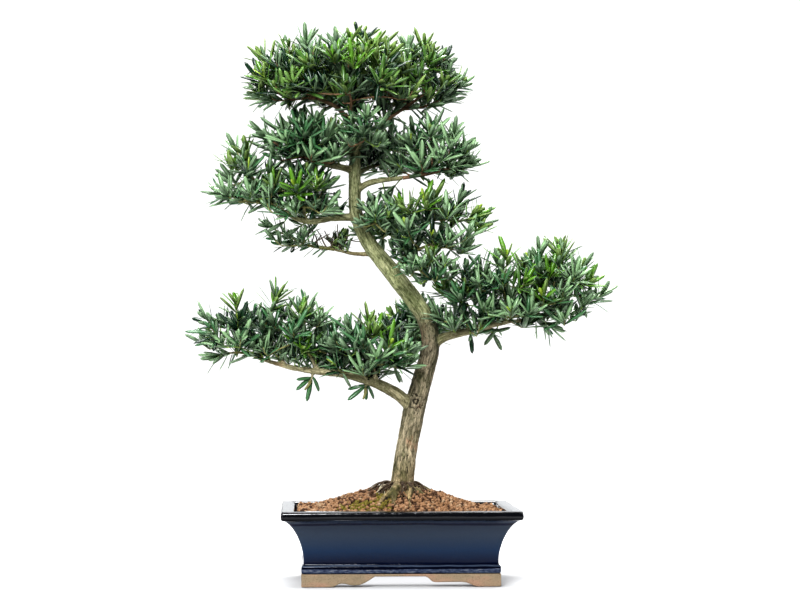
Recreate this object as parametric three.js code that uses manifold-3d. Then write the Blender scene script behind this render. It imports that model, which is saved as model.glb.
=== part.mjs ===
// A podocarpus bonsai about 70 cm tall, in a glazed rectangular pot with unglazed feet.
// Millimetres, +Z up, +X to the right of the tree's front, +Y towards its back.
// The trunk leans right, bends back left at its middle and ends in a fork under a clipped crown.
// Every bough ends where it enters a mass of foliage, and every mass keeps to a space of its own.
import * as THREE from 'three';
import { mergeVertices } from 'three/addons/utils/BufferGeometryUtils.js';
import Module from 'manifold-3d';

const wasm = await Module();
wasm.setup();

// Driving dimensions of the pot
const RIM_HALF_LENGTH = 145.5;
const RIM_HALF_DEPTH = 107.5;
const POT_HEIGHT = 92;
const FOOT_HEIGHT = 15.7;
const FOOT_HALF_LENGTH = 121;
const FOOT_WALL = 13;
const FLOOR_THICKNESS = 10;
const POT_CORNER = 3.5;
const DEPTH_STEP = RIM_HALF_LENGTH - RIM_HALF_DEPTH;

// Driving dimensions of the soil and the tree
const GAP = 0.3;
const SOIL_EDGE_HEIGHT = 89;
const GROUND_HEIGHT = 115;
const TRUNK_FOOT = new THREE.Vector3(5, 0, GROUND_HEIGHT);
const STEM_RADIUS = 2.7;
const TWIG_RADIUS = 1.5;
const LEAF_LENGTH = 50;
const LEAF_WIDTH = 16;
const LEAF_THICKNESS = 1.1;
const LEAF_WIDEST = 0.42;
const LEAF_SPACING = 3;
const LEAF_TRIES = [1, 0.85, 0.7, 0.55];
const LEAVES_ON_A_SHOOT = 5;
const ROOT_WIDTH = 0.9;
const ROOT_DEPTH = 0.3;
const FULL_SPACE = 44;
const SPACE_POWER = 2.3;
const CANDIDATES = 1200;
const END_ROOM = 0.8;
const LIFT = 0.8;
const MASS_CLEARANCE = 0.4;
const LIMB_CLEARANCE = 1.6;
const GOLDEN_ANGLE = Math.PI * (3 - Math.sqrt(5));
// Steps that spread a run of points evenly through a box
const SPREAD = [1, 2, 3].map((power) => 1.2207440846 ** -power);
const SEED = 71;

const UP = new THREE.Vector3(0, 0, 1);
const vector = (x, y, z) => new THREE.Vector3(x, y, z);

// A repeatable stream of numbers from 0 to 1
function seeded(seed) {
  let state = seed >>> 0;
  return () => {
    state = (state + 0x6d2b79f5) >>> 0;
    let mixed = state;
    mixed = Math.imul(mixed ^ (mixed >>> 15), mixed | 1);
    mixed ^= mixed + Math.imul(mixed ^ (mixed >>> 7), mixed | 61);
    return ((mixed ^ (mixed >>> 14)) >>> 0) / 4294967296;
  };
}

// From a closed three.js geometry to a solid that can be joined and cut
function solidOf(geometry) {
  const bare = geometry.clone();
  bare.deleteAttribute('normal');
  bare.deleteAttribute('uv');
  const merged = mergeVertices(bare, 1e-4);
  const corners = new Uint32Array(merged.index.array);
  const build = () => new wasm.Manifold(new wasm.Mesh({
    numProp: 3,
    vertProperties: new Float32Array(merged.attributes.position.array),
    triVerts: corners,
  }));
  const made = build();
  if (made.volume() > 0) return made;
  for (let i = 0; i < corners.length; i += 3) {
    [corners[i + 1], corners[i + 2]] = [corners[i + 2], corners[i + 1]];
  }
  return build();
}

// The largest body of a solid: loose scraps go, and a sealed hollow is filled
function mainBody(solid) {
  return solid.decompose().reduce((best, body) => (body.volume() > best.volume() ? body : best));
}

function meshOf(name, solid, material) {
  const { numProp, vertProperties, triVerts } = solid.getMesh();
  const positions = new Float32Array((vertProperties.length / numProp) * 3);
  for (let i = 0; i < positions.length / 3; i += 1) {
    positions.set(vertProperties.subarray(i * numProp, i * numProp + 3), i * 3);
  }
  const geometry = new THREE.BufferGeometry();
  geometry.setAttribute('position', new THREE.BufferAttribute(positions, 3));
  geometry.setIndex(new THREE.BufferAttribute(new Uint32Array(triVerts), 1));
  geometry.computeVertexNormals();
  const mesh = new THREE.Mesh(geometry, material);
  mesh.name = name;
  return mesh;
}

// Moves every vertex of a geometry to the place that a function gives it
function reshape(geometry, place) {
  const positions = geometry.attributes.position;
  for (let i = 0; i < positions.count; i += 1) {
    const at = place(vector(positions.getX(i), positions.getY(i), positions.getZ(i)), i);
    positions.setXYZ(i, at.x, at.y, at.z);
  }
  return geometry;
}

// Materials
const finish = (color, roughness) => new THREE.MeshStandardMaterial({ color, roughness, metalness: 0 });
const glaze = finish(0x1b2740, 0.15);
const clay = finish(0xab9677, 0.8);
const earth = finish(0x9c6a45, 0.95);
const bark = finish(0x8e8462, 0.85);
const leafGreen = finish(0x2c6433, 0.4);

// Pot and soil: a turned profile whose rounds are squared off into a rounded rectangle
function outline(halfLength, halfDepth, corner, perSide) {
  const points = [];
  for (let quarter = 0; quarter < 4; quarter += 1) {
    const signX = quarter === 0 || quarter === 3 ? 1 : -1;
    const signY = quarter < 2 ? 1 : -1;
    const centre = [signX * (halfLength - corner), signY * (halfDepth - corner)];
    for (let step = 0; step < 3; step += 1) {
      const angle = (quarter + step / 2) * (Math.PI / 2);
      points.push([centre[0] + corner * Math.cos(angle), centre[1] + corner * Math.sin(angle)]);
    }
    const next = quarter % 2 === 0
      ? [-signX * (halfLength - corner), signY * halfDepth]
      : [signX * halfLength, -signY * (halfDepth - corner)];
    const last = points[points.length - 1];
    for (let step = 1; step <= perSide; step += 1) {
      const share = step / (perSide + 1);
      points.push([last[0] + (next[0] - last[0]) * share, last[1] + (next[1] - last[1]) * share]);
    }
  }
  return points;
}

function squaredLathe(profile, perSide, heightAt = (x, y, z) => z) {
  const columns = 12 + 4 * perSide;
  const lathe = new THREE.LatheGeometry(profile.map(([r, z]) => new THREE.Vector2(r, z)), columns);
  return reshape(lathe, (at, index) => {
    const [radius, z] = profile[index % profile.length];
    const column = Math.floor(index / profile.length) % columns;
    const depth = Math.max(radius - DEPTH_STEP, radius * 0.6);
    const [x, y] = outline(radius, depth, Math.min(POT_CORNER, radius * 0.1), perSide)[column];
    return vector(x, y, heightAt(x, y, z));
  });
}

function pot() {
  const bottom = FOOT_HEIGHT + GAP;
  const floor = bottom + FLOOR_THICKNESS;
  return solidOf(squaredLathe([
    [0, bottom], [119.6, bottom], [120.8, 17.2], [120.8, 24], [119, 26], [118.6, 34], [120.4, 46],
    [124, 58], [129.5, 69], [136, 77], [143.5, 81.5], [RIM_HALF_LENGTH, 83.5], [RIM_HALF_LENGTH, 90.4],
    [144, POT_HEIGHT], [131, POT_HEIGHT], [129.6, 90.5], [125, 76], [116, 58], [111, 44],
    [109.5, floor + 4], [105, floor], [0, floor],
  ], 0));
}

// The wavy cut between two feet: a scallop at its left end, a low step at its right end
function footArch(left, right) {
  const arch = FOOT_HEIGHT - 3;
  const step = Math.min(32, (left + right) / 5);
  const shape = new THREE.Shape();
  shape.moveTo(-left, -1);
  shape.lineTo(-left, 0);
  shape.bezierCurveTo(-left + 6, 0.2, -left + 7, 4.3, -left + 13, 4.3);
  shape.bezierCurveTo(-left + 20, 4.3, -left + 22, 1.9, -left + 28, 1.9);
  shape.bezierCurveTo(-left + 38, 1.9, -left + 44, 7, -left + 53, arch);
  shape.lineTo(right - 32 - step, arch);
  shape.bezierCurveTo(right - 26 - step, 11, right - 26 - step, 5.6, right - 20 - step, 5.6);
  shape.lineTo(right - 20, 5.8);
  shape.bezierCurveTo(right - 10, 5.8, right - 8, 0.4, right, 0);
  shape.lineTo(right, -1);
  return shape;
}

function potFoot() {
  const halfDepth = FOOT_HALF_LENGTH - DEPTH_STEP;
  const block = (halfLength, halfWidth, from, to) => solidOf(
    new THREE.BoxGeometry(2 * halfLength, 2 * halfWidth, to - from).translate(0, 0, (from + to) / 2),
  );
  const archThrough = (arch, width, turn) => solidOf(
    new THREE.ExtrudeGeometry(arch, { depth: 2 * width, bevelEnabled: false, curveSegments: 4 })
      .translate(0, 0, -width)
      .rotateX(Math.PI / 2)
      .rotateZ(turn),
  );
  const frame = block(FOOT_HALF_LENGTH, halfDepth, 0, FOOT_HEIGHT)
    .subtract(block(FOOT_HALF_LENGTH - FOOT_WALL, halfDepth - FOOT_WALL, -1, FOOT_HEIGHT + 1));
  return frame
    .subtract(archThrough(footArch(85, 93), halfDepth + 5, 0))
    .subtract(archThrough(footArch(56, 56), FOOT_HALF_LENGTH + 5, Math.PI / 2));
}

// The soil stands a little below the rim and rises in a low mound to the trunk
function soilHeight(x, y) {
  const out = Math.hypot(x / 131, y / 95, Math.max(Math.abs(x / 131), Math.abs(y / 95)));
  const share = THREE.MathUtils.clamp((out / 1.2 - 0.27) / 0.73, 0, 1) * (x < 0 ? 0.93 : 1);
  const lumps = 0.9 * Math.sin(x * 0.11 + 1.3) * Math.sin(y * 0.13) * Math.min(1, share * 4);
  return GROUND_HEIGHT - (GROUND_HEIGHT - SOIL_EDGE_HEIGHT) * share ** 1.05 + lumps;
}

function soilMound() {
  const floor = FOOT_HEIGHT + FLOOR_THICKNESS + 2 * GAP;
  const rings = [0.22, 0.38, 0.55, 0.72, 0.88].map((share) => [share * 127.5, GROUND_HEIGHT]);
  const profile = [
    [0, floor], [104, floor], [108.8, floor + 5], [110.2, 44], [115.2, 58], [124.2, 76], [127.6, 86.5],
    ...rings.reverse(), [0, GROUND_HEIGHT],
  ];
  return solidOf(squaredLathe(profile, 3, (x, y, z) => (z > 86 ? soilHeight(x, y) : z)));
}

// A limb is a tube that tapers along a smooth line through a few [x, y, z, radius] stations
class Limb {
  constructor(stations, sides, segments) {
    const line = stations.map(([x, y, z]) => vector(x, y, z));
    this.curve = new THREE.CatmullRomCurve3(line, false, 'centripetal');
    this.radii = stations.map((station) => station[3]);
    this.sides = sides;
    this.segments = segments;
    this.samples = [];
    for (let i = 0; i <= 60; i += 1) this.samples.push([this.curve.getPoint(i / 60), this.radiusAt(i / 60)]);
  }

  radiusAt(share) {
    const place = share * (this.radii.length - 1);
    const low = Math.min(Math.floor(place), this.radii.length - 2);
    return THREE.MathUtils.lerp(this.radii[low], this.radii[low + 1], place - low);
  }

  // Bends a straight cylinder along the line; grow makes a thicker copy that cuts a neighbour clear
  solid(grow = 0) {
    const extra = grow / Math.cos(Math.PI / this.sides);
    const frames = this.curve.computeFrenetFrames(this.segments, false);
    const tube = new THREE.CylinderGeometry(1, 1, 1, this.sides, this.segments);
    return solidOf(reshape(tube, (at) => {
      const row = Math.round((at.y + 0.5) * this.segments);
      const share = this.curve.getUtoTmapping(row / this.segments);
      const radius = this.radiusAt(share) + extra;
      return this.curve.getPoint(share)
        .addScaledVector(frames.normals[row], at.x * radius)
        .addScaledVector(frames.binormals[row], at.z * radius);
    }));
  }

  tip() {
    return { point: this.curve.getPoint(1), direction: this.curve.getTangent(1) };
  }

  // The place on the limb's side that faces a point
  sideTowards(target) {
    const [at, radius] = this.samples.reduce((best, sample) => (
      sample[0].distanceTo(target) < best[0].distanceTo(target) ? sample : best));
    const direction = target.clone().sub(at).normalize();
    return { point: at.clone().addScaledVector(direction, radius), direction };
  }

  clearance(point) {
    return Math.min(...this.samples.map(([at, radius]) => at.distanceTo(point) - radius));
  }
}

// Stations along a line of points, with the radius falling evenly over its length
function tapering(points, rootRadius, tipRadius) {
  const reached = points.map(() => 0);
  for (let i = 1; i < points.length; i += 1) {
    reached[i] = reached[i - 1] + points[i].distanceTo(points[i - 1]);
  }
  const length = reached[points.length - 1];
  const radius = (i) => THREE.MathUtils.lerp(rootRadius, tipRadius, reached[i] / length);
  return points.map((at, i) => [at.x, at.y, at.z, radius(i)]);
}

const TRUNK = new Limb([
  [2, 0, 92, 18], [5, 0, 122, 14.8], [9, -1, 155, 13.4], [19, -4, 210, 13.4], [29, -3, 246, 11.8],
  [41, 3, 296, 10.8], [35, 8, 327, 10.3], [-3, 9, 380, 10.5], [-40, 4, 426, 9], [-53, 1, 458, 8.1],
  [-55, 0, 500, 7.7], [-55, -2, 540, 6.6], [-61, -3, 563, 5.2], [-68, -3, 583, 4.1],
], 10, 28);

// Boughs: the limb each grows from, how far along that limb, the knees it runs through to its tip, and its
// radii at root and tip
const BOUGHS = {
  bough_low_left: ['trunk', 0.23, [[-2, -12, 232], [-50, -22, 253], [-128, -8, 264], [-170, 0, 275]],
    8.4, 2.3],
  bough_right: ['trunk', 0.38, [[54, 0, 301], [90, -8, 311], [130, -7, 321], [166, 0, 326]], 6.6, 1.9],
  bough_middle_right: ['trunk', 0.59, [[10, -11, 404], [19, -17, 409]], 4.5, 2.5],
  bough_third_left: ['trunk', 0.75, [[-81, -6, 452], [-116, -16, 447], [-158, -12, 467]], 4.8, 2.3],
  bough_fourth_left: ['trunk', 0.65, [[-53, 14, 408], [-80, 24, 414]], 3.4, 2],
  bough_third_back: ['trunk', 0.71, [[-40, 26, 446], [-30, 46, 454]], 3.8, 2.3],
  bough_second_right: ['trunk', 0.81, [[-37, -4, 496], [5, -9, 502]], 4.6, 2.7],
  bough_second_left: ['trunk', 0.86, [[-71, -7, 515], [-97, -14, 519]], 4.2, 2.4],
  bough_second_back: ['trunk', 0.85, [[-41, 24, 516], [-28, 44, 522]], 3.6, 2.2],
  bough_second_front: ['trunk', 0.895, [[-51, -18, 540], [-47, -30, 545]], 3, 1.9],
  bough_crown_left: ['trunk', 0.99, [[-76, -8, 589], [-102, -14, 601]], 3.6, 2.2],
  bough_crown_right: ['trunk', 0.91, [[-42, 2, 556], [6, 4, 590]], 4.4, 2.3],
  bough_crown_front: ['trunk', 0.955, [[-61, -20, 577], [-60, -34, 588]], 3.4, 2.1],
  bough_crown_back: ['trunk', 0.94, [[-57, 20, 576], [-57, 36, 594]], 3.6, 2.2],
  bough_low_back: ['trunk', 0.405, [[34, 32, 314], [28, 54, 324]], 4.6, 2.8],
};

// Risers and spurs: short boughs that stand up from, or hang under, a bough
const RISERS = {
  riser_low_middle: ['bough_low_left', 0.65, [[-105, -16, 270], [-109, -17, 278]], 3.2, 2.3],
  riser_low_inner: ['bough_low_left', 0.29, [[-31, -28, 260], [-33, -33, 267]], 3.4, 2.4],
  riser_low_tip: ['bough_low_left', 0.845, [[-150, 0, 278], [-160, 3, 286]], 2.8, 2],
  riser_right_inner: ['bough_right', 0.42, [[87, -8, 321], [85, -8, 326]], 3, 2.2],
  riser_right_middle: ['bough_right', 0.57, [[112, -14, 325], [117, -16, 331]], 2.8, 2.1],
  riser_third_inner: ['bough_third_left', 0.58, [[-118, -21, 456], [-118, -24, 462]], 2.8, 2.1],
  riser_middle_low: ['bough_middle_right', 0.4, [[12, -15, 394], [17, -23, 391]], 2.4, 1.7],
  spur_low_inner: ['bough_low_left', 0.35, [[-42, -24, 242], [-42, -25, 239]], 2, 1.4],
  spur_low_middle: ['bough_low_left', 0.68, [[-109, -16, 250], [-110, -17, 248]], 2, 1.4],
};

// Masses of foliage: the limb that feeds each, its centre and half sizes, how far it hangs under its centre
// as a share of its half height, and its count of shoots
const MASSES = {
  foliage_crown_left: ['bough_crown_left', [-137, -4, 635], [66, 62, 54], 0.8, 5],
  foliage_crown_right: ['bough_crown_right', [36, 2, 637], [67, 62, 57], 0.8, 5],
  foliage_crown_front: ['bough_crown_front', [-62, -48, 632], [90, 58, 62], 0.86, 5],
  foliage_crown_back: ['bough_crown_back', [-47, 52, 648], [96, 60, 63], 0.88, 5],
  foliage_second_left: ['bough_second_left', [-111, -12, 554], [65, 60, 47], 0.85, 5],
  foliage_second_right: ['bough_second_right', [39, -8, 541], [73, 60, 51], 0.85, 5],
  foliage_second_back: ['bough_second_back', [-13, 72, 549], [59, 50, 43], 0.9, 4],
  foliage_second_front: ['bough_second_front', [-44, -46, 563], [39, 38, 35], 0.9, 2],
  foliage_third_tip: ['bough_third_left', [-189, -5, 503], [55, 56, 62], 0.55, 5],
  foliage_third_inner: ['riser_third_inner', [-121, -20, 488], [62, 58, 47], 0.85, 5],
  foliage_third_back: ['bough_third_back', [-13, 74, 456], [52, 46, 35], 0.9, 4],
  foliage_fourth_left: ['bough_fourth_left', [-117, 20, 436], [63, 50, 32], 0.7, 4],
  foliage_middle_right: ['bough_middle_right', [44, -12, 448], [76, 62, 55], 0.9, 6],
  foliage_middle_low: ['riser_middle_low', [30, -32, 393], [47, 36, 33], 0.9, 3],
  foliage_trunk_tuft: ['trunk', [-23, -26, 452], [36, 32, 36], 0.9, 3],
  foliage_right_outer: ['bough_right', [203, 0, 370], [72, 64, 70], 0.7, 6],
  foliage_right_middle: ['riser_right_middle', [134, -14, 369], [62, 62, 60], 0.85, 4],
  foliage_right_inner: ['riser_right_inner', [82, -4, 353], [53, 60, 58], 0.85, 4],
  foliage_low_tip: ['riser_low_tip', [-202, 2, 318], [65, 60, 50], 0.8, 5],
  foliage_low_middle: ['riser_low_middle', [-130, -10, 322], [66, 62, 56], 0.85, 5],
  foliage_low_inner: ['riser_low_inner', [-37, -34, 295], [74, 60, 49], 0.85, 5],
  foliage_low_back: ['bough_low_back', [28, 84, 325], [54, 58, 41], 0.85, 5],
  foliage_drop_inner: ['spur_low_inner', [-45, -27, 237], [32, 26, 22], 1, 1],
  foliage_drop_middle: ['spur_low_middle', [-117, -18, 248], [32, 26, 21], 1, 1],
};

// Surface roots: azimuth in degrees, reach, radius and sideways bow
const ROOTS = [
  [-119, 74, 5.4, 6], [-102, 72, 4.6, -5], [-84, 62, 3.6, 6], [-160, 44, 3.6, -6], [-12, 42, 3.8, 5],
  [-50, 46, 3.4, -5], [38, 46, 3.8, 6], [88, 50, 4.2, -6], [135, 48, 3.8, 5],
];

// A root swells out of the trunk's foot and runs half sunk in the soil
function surfaceRoot([azimuth, reach, radius, bow]) {
  const angle = THREE.MathUtils.degToRad(azimuth);
  const out = vector(Math.cos(angle), Math.sin(angle), 0);
  const side = vector(-out.y, out.x, 0);
  const station = (along, sideways, above, size) => {
    const at = TRUNK_FOOT.clone().addScaledVector(out, along).addScaledVector(side, sideways);
    return [at.x, at.y, soilHeight(at.x, at.y) + above * radius, size * radius];
  };
  const stations = [
    station(2, 0, 3.2, 1.5), station(13, 0, 0.9, 1.2), station(reach * 0.5, bow, 0.1, 1),
    station(reach * 0.78, bow * 0.4, -0.1, 0.8), station(reach, 0, -0.9, 0.5),
  ];
  return new Limb(stations, 5, 4).solid();
}

// The space of a mass: a rounded box with a flat underside, parted from its neighbours by planes
class Space {
  constructor([, centre, half, under]) {
    this.centre = vector(...centre);
    this.half = vector(...half);
    this.planes = [{ normal: vector(0, 0, -1), offset: under * half[2] }];
  }

  partFrom(other) {
    const between = other.centre.clone().sub(this.centre);
    const distance = between.length();
    const normal = between.normalize();
    const [own, others] = [this.half, other.half].map((half) => normal.clone().multiply(half).length());
    const offset = (distance * own) / (own + others) - MASS_CLEARANCE;
    if (own + others > distance) this.planes.push({ normal, offset });
  }

  // Under 1 inside the rounded box
  fullness(offset) {
    const shares = offset.clone().divide(this.half).toArray();
    return shares.reduce((sum, share) => sum + Math.abs(share) ** SPACE_POWER, 0) ** (1 / SPACE_POWER);
  }

  holds(point) {
    const offset = point.clone().sub(this.centre);
    return this.fullness(offset) < 1 && this.planes.every((p) => p.normal.dot(offset) < p.offset);
  }
}

// A leaf is a thin blade of eight faces: its root is a small triangle sunk in the shoot, two corners make
// its widest part and one its tip
function leaf({ root, ray, face }, length) {
  const side = ray.clone().cross(face).normalize();
  const width = (LEAF_WIDTH * length) / LEAF_LENGTH;
  const place = (along, across, up) => root.clone()
    .addScaledVector(ray, along)
    .addScaledVector(side, across)
    .addScaledVector(face, up * LEAF_THICKNESS);
  return reshape(new THREE.OctahedronGeometry(1), (at) => {
    if (at.y > 0.5) return place(length, 0, 0);
    if (at.y < -0.5) return place(-ROOT_DEPTH, 0, -0.5);
    if (at.x > 0.5) return place(LEAF_WIDEST * length, width / 2, -0.4);
    if (at.z < -0.5) return place(LEAF_WIDEST * length, -width / 2, -0.4);
    return place(-ROOT_DEPTH, at.x < -0.5 ? -ROOT_WIDTH / 2 : ROOT_WIDTH / 2, 0.5);
  });
}

// Places in a space where a rosette of leaves fits, and the way it points: the highest place first, and then
// each as far as can be from those before it
function shootEnds(space, leafLength, count) {
  const room = END_ROOM * leafLength;
  const fitting = [];
  for (let n = 1; n <= CANDIDATES; n += 1) {
    const [x, y, z] = SPREAD.map((step) => 2 * ((n * step) % 1) - 1);
    const point = vector(x, y, z).multiply(space.half).add(space.centre);
    const axis = vector(x, y, 0.3 * z + LIFT).normalize();
    const around = [
      point.clone().addScaledVector(axis, room),
      point.clone().addScaledVector(vector(x, y, 0).normalize(), room / 2),
      point.clone().addScaledVector(UP, -4),
    ];
    if (around.every((place) => space.holds(place))) fitting.push({ point, axis, away: 1e6 });
  }
  const kept = [fitting.reduce((best, end) => (end.point.z > best.point.z ? end : best))];
  while (kept.length < Math.min(count, fitting.length)) {
    const last = kept[kept.length - 1].point;
    for (const end of fitting) end.away = Math.min(end.away, end.point.distanceTo(last));
    kept.push(fitting.reduce((best, end) => (end.away > best.away ? end : best)));
  }
  return kept;
}

// Places of the leaves round a shoot, the steepest at its end and the flattest lowest down
function rosette(shoot, turn, random) {
  const { axis, twig } = shoot;
  const across = axis.clone().cross(Math.abs(axis.z) < 0.9 ? UP : vector(1, 0, 0)).normalize();
  const other = axis.clone().cross(across);
  const places = [];
  for (let k = 0; k < LEAVES_ON_A_SHOOT; k += 1) {
    const angle = k * GOLDEN_ANGLE + turn;
    const spread = THREE.MathUtils.degToRad(32 + (46 * k) / (LEAVES_ON_A_SHOOT - 1) + 6 * random());
    const outward = across.clone().multiplyScalar(Math.cos(angle)).addScaledVector(other, Math.sin(angle));
    const ray = axis.clone().multiplyScalar(Math.cos(spread)).addScaledVector(outward, Math.sin(spread));
    const face = axis.clone().addScaledVector(ray, -axis.dot(ray)).normalize();
    const down = (1.2 + k * LEAF_SPACING) / twig.curve.getLength();
    places.push({ root: twig.curve.getPointAt(Math.max(0.3, 1 - down)), ray, face });
  }
  return places;
}

// Points of a leaf that are tested against the space and the limbs
function testPoints({ root, ray }, shape, length) {
  const positions = shape.attributes.position;
  const corners = Array.from({ length: 24 }, (_, i) => vector().fromBufferAttribute(positions, i));
  const spine = [0.15, 0.3, 0.5, 0.65, 0.8].map((share) => root.clone().addScaledVector(ray, share * length));
  return [...corners, ...spine];
}

// A stem, shoots that leave it one after another, and a rosette of leaves near each shoot's end. A leaf that
// would leave the space, touch a limb or cross another leaf or shoot is tried shorter, or skipped.
function foliage(space, foot, shootCount, limbs, random) {
  const clear = (points, room) => points.every((p) => limbs.every((limb) => limb.clearance(p) > room));
  const leafLength = LEAF_LENGTH * Math.min(1, Math.min(...space.half) / FULL_SPACE);
  const heart = space.centre.clone().addScaledVector(UP, -0.2 * space.half.z);
  const start = foot.point.clone().addScaledVector(foot.direction, GAP);
  const lead = start.clone().addScaledVector(foot.direction, 0.35 * start.distanceTo(heart));
  const stem = new Limb(tapering([start, lead, heart], STEM_RADIUS, STEM_RADIUS * 0.85), 3, 3);
  const wood = [stem.solid()];
  const shoots = [];
  const hangs = foot.point.z - 5 > space.centre.z;
  const ends = hangs ? [] : shootEnds(space, leafLength, shootCount);
  ends.forEach(({ point, axis }, i) => {
    const from = stem.curve.getPointAt(1 - (0.55 * i) / shootCount);
    const twig = new Limb(tapering([from, point], TWIG_RADIUS, TWIG_RADIUS), 3, 1);
    const beyondStem = twig.samples.slice(12).map(([place]) => place);
    if (from.distanceTo(point) < 5 || !clear(beyondStem, TWIG_RADIUS + 0.5)) return;
    shoots.push({ twig, axis, index: wood.length });
    wood.push(twig.solid());
  });
  if (shoots.length === 0) shoots.push({ twig: stem, axis: stem.curve.getTangent(1), index: 0 });
  const leaves = [];
  for (const shoot of shoots) {
    const otherWood = wood.filter((_, index) => index !== shoot.index);
    for (const place of rosette(shoot, shoot.index, random)) {
      const length = LEAF_TRIES.map((share) => share * leafLength).find((tried) => {
        const shape = leaf(place, tried);
        const points = testPoints(place, shape, tried);
        if (!points.every((p) => space.holds(p)) || !clear(points, LIMB_CLEARANCE)) return false;
        const blade = solidOf(shape);
        return [...otherWood, ...leaves].every((solid) => blade.intersect(solid).isEmpty());
      });
      if (length) leaves.push(solidOf(leaf(place, length)));
    }
  }
  return mainBody(wasm.Manifold.union([...wood, ...leaves]));
}

// Assembly
const bonsai = new THREE.Group();
bonsai.name = 'podocarpus_bonsai';
const soil = soilMound();
bonsai.add(meshOf('pot', pot(), glaze));
bonsai.add(meshOf('pot_foot', potFoot(), clay));
bonsai.add(meshOf('soil_mound', soil, earth));

const trunkAndRoots = wasm.Manifold.union([TRUNK.solid(), ...ROOTS.map(surfaceRoot)]);
bonsai.add(meshOf('trunk', mainBody(trunkAndRoots.subtract(soil.translate([0, 0, GAP]))), bark));

const limbs = { trunk: TRUNK };
function addLimbs(table, sides, spacing) {
  for (const [name, [parent, share, line, rootRadius, tipRadius]] of Object.entries(table)) {
    const points = [limbs[parent].curve.getPointAt(share), ...line.map((at) => vector(...at))];
    const length = new THREE.CatmullRomCurve3(points).getLength();
    const segments = Math.max(2, Math.round(length / spacing));
    limbs[name] = new Limb(tapering(points, rootRadius, tipRadius), sides, segments);
    const clearOfParent = limbs[name].solid().subtract(limbs[parent].solid(GAP));
    bonsai.add(meshOf(name, mainBody(clearOfParent), bark));
  }
}
addLimbs(BOUGHS, 7, 14);
addLimbs(RISERS, 5, 12);

const spaces = Object.values(MASSES).map((mass) => new Space(mass));
for (const one of spaces) {
  for (const other of spaces.filter((space) => space !== one)) one.partFrom(other);
}
Object.entries(MASSES).forEach(([name, [feeder, , , , shootCount]], index) => {
  const space = spaces[index];
  const foot = feeder === 'trunk' ? TRUNK.sideTowards(space.centre) : limbs[feeder].tip();
  const solid = foliage(space, foot, shootCount, Object.values(limbs), seeded(SEED + index));
  bonsai.add(meshOf(name, solid, leafGreen));
});

// The frame's origin is the middle of the whole object's underside
const box = new THREE.Box3().setFromObject(bonsai);
const middle = box.getCenter(vector());
bonsai.position.set(-middle.x, -middle.y, -box.min.z);

export default bonsai;
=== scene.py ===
# Looks of a potted podocarpus bonsai, about 70 cm tall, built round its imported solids.
# The tree and pot are laid out in millimetres from the middle of the pot's underside, and
# finished() brings each piece into the frame, in metres.
import math
import random

import bmesh
import bpy
import numpy as np
from mathutils import Matrix, Vector, kdtree, noise


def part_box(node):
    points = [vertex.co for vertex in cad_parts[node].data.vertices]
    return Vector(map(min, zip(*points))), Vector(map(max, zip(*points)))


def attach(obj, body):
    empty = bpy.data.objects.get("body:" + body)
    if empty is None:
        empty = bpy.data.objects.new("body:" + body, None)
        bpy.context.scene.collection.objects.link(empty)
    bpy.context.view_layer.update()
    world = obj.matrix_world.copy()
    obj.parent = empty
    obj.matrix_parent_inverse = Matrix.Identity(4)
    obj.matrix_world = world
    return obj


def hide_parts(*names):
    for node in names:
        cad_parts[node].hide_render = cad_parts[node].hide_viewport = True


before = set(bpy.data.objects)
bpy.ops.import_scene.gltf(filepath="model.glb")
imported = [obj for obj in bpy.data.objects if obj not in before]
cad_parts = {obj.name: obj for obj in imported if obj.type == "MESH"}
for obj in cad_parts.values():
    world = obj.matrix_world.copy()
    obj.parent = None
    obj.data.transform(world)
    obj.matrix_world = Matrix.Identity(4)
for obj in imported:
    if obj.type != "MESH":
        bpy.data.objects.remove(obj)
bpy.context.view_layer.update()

POT_LOW, POT_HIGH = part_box("pot")
POT_CENTRE = Vector(((POT_LOW.x + POT_HIGH.x) / 2, (POT_LOW.y + POT_HIGH.y) / 2, 0))
MM = 0.001
GOLDEN_ANGLE = math.pi * (3 - math.sqrt(5))
UP = Vector((0, 0, 1))
SEED = 71

# noise_vector, which the pot's walls use, takes its offsets from the clock unless it is seeded
noise.seed_set(SEED)

# Sizes of the pot and the soil
DEPTH_STEP = 38
POT_CORNER = 2.6
GROUND_HEIGHT = 115
SOIL_EDGE_HEIGHT = 89
SOIL_HALF_LENGTH = 127
SOIL_HALF_DEPTH = 89
MOUND_HALF_LENGTH = 131
MOUND_HALF_DEPTH = 95

# Camera, at the photograph's angle
CAMERA_PLACE = Vector((-119.2, -2647.5, 267))
CAMERA_TURN = math.radians(2.62)
CAMERA_LIFT = math.radians(1.637)
CAMERA_LENS = 95.3


def tint(red, green, blue):
    """A colour named by its screen values, 0 to 255, as the linear colour that a shader takes."""
    shares = [value / 255 for value in (red, green, blue)]
    return (*[s / 12.92 if s < 0.04045 else ((s + 0.055) / 1.055) ** 2.4 for s in shares], 1)


def clamped(value):
    return min(max(value, 0), 1)


def bell(value, middle, width):
    """1 at the middle, and falling off smoothly to both sides."""
    return math.exp(-(((value - middle) / width) ** 2))


def scatter(chance, most):
    """Three draws, each up to so much either way, as a vector."""
    return Vector([chance.uniform(-most, most) for _ in range(3)])


# Materials
WHITE = (255, 255, 255)


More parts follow.
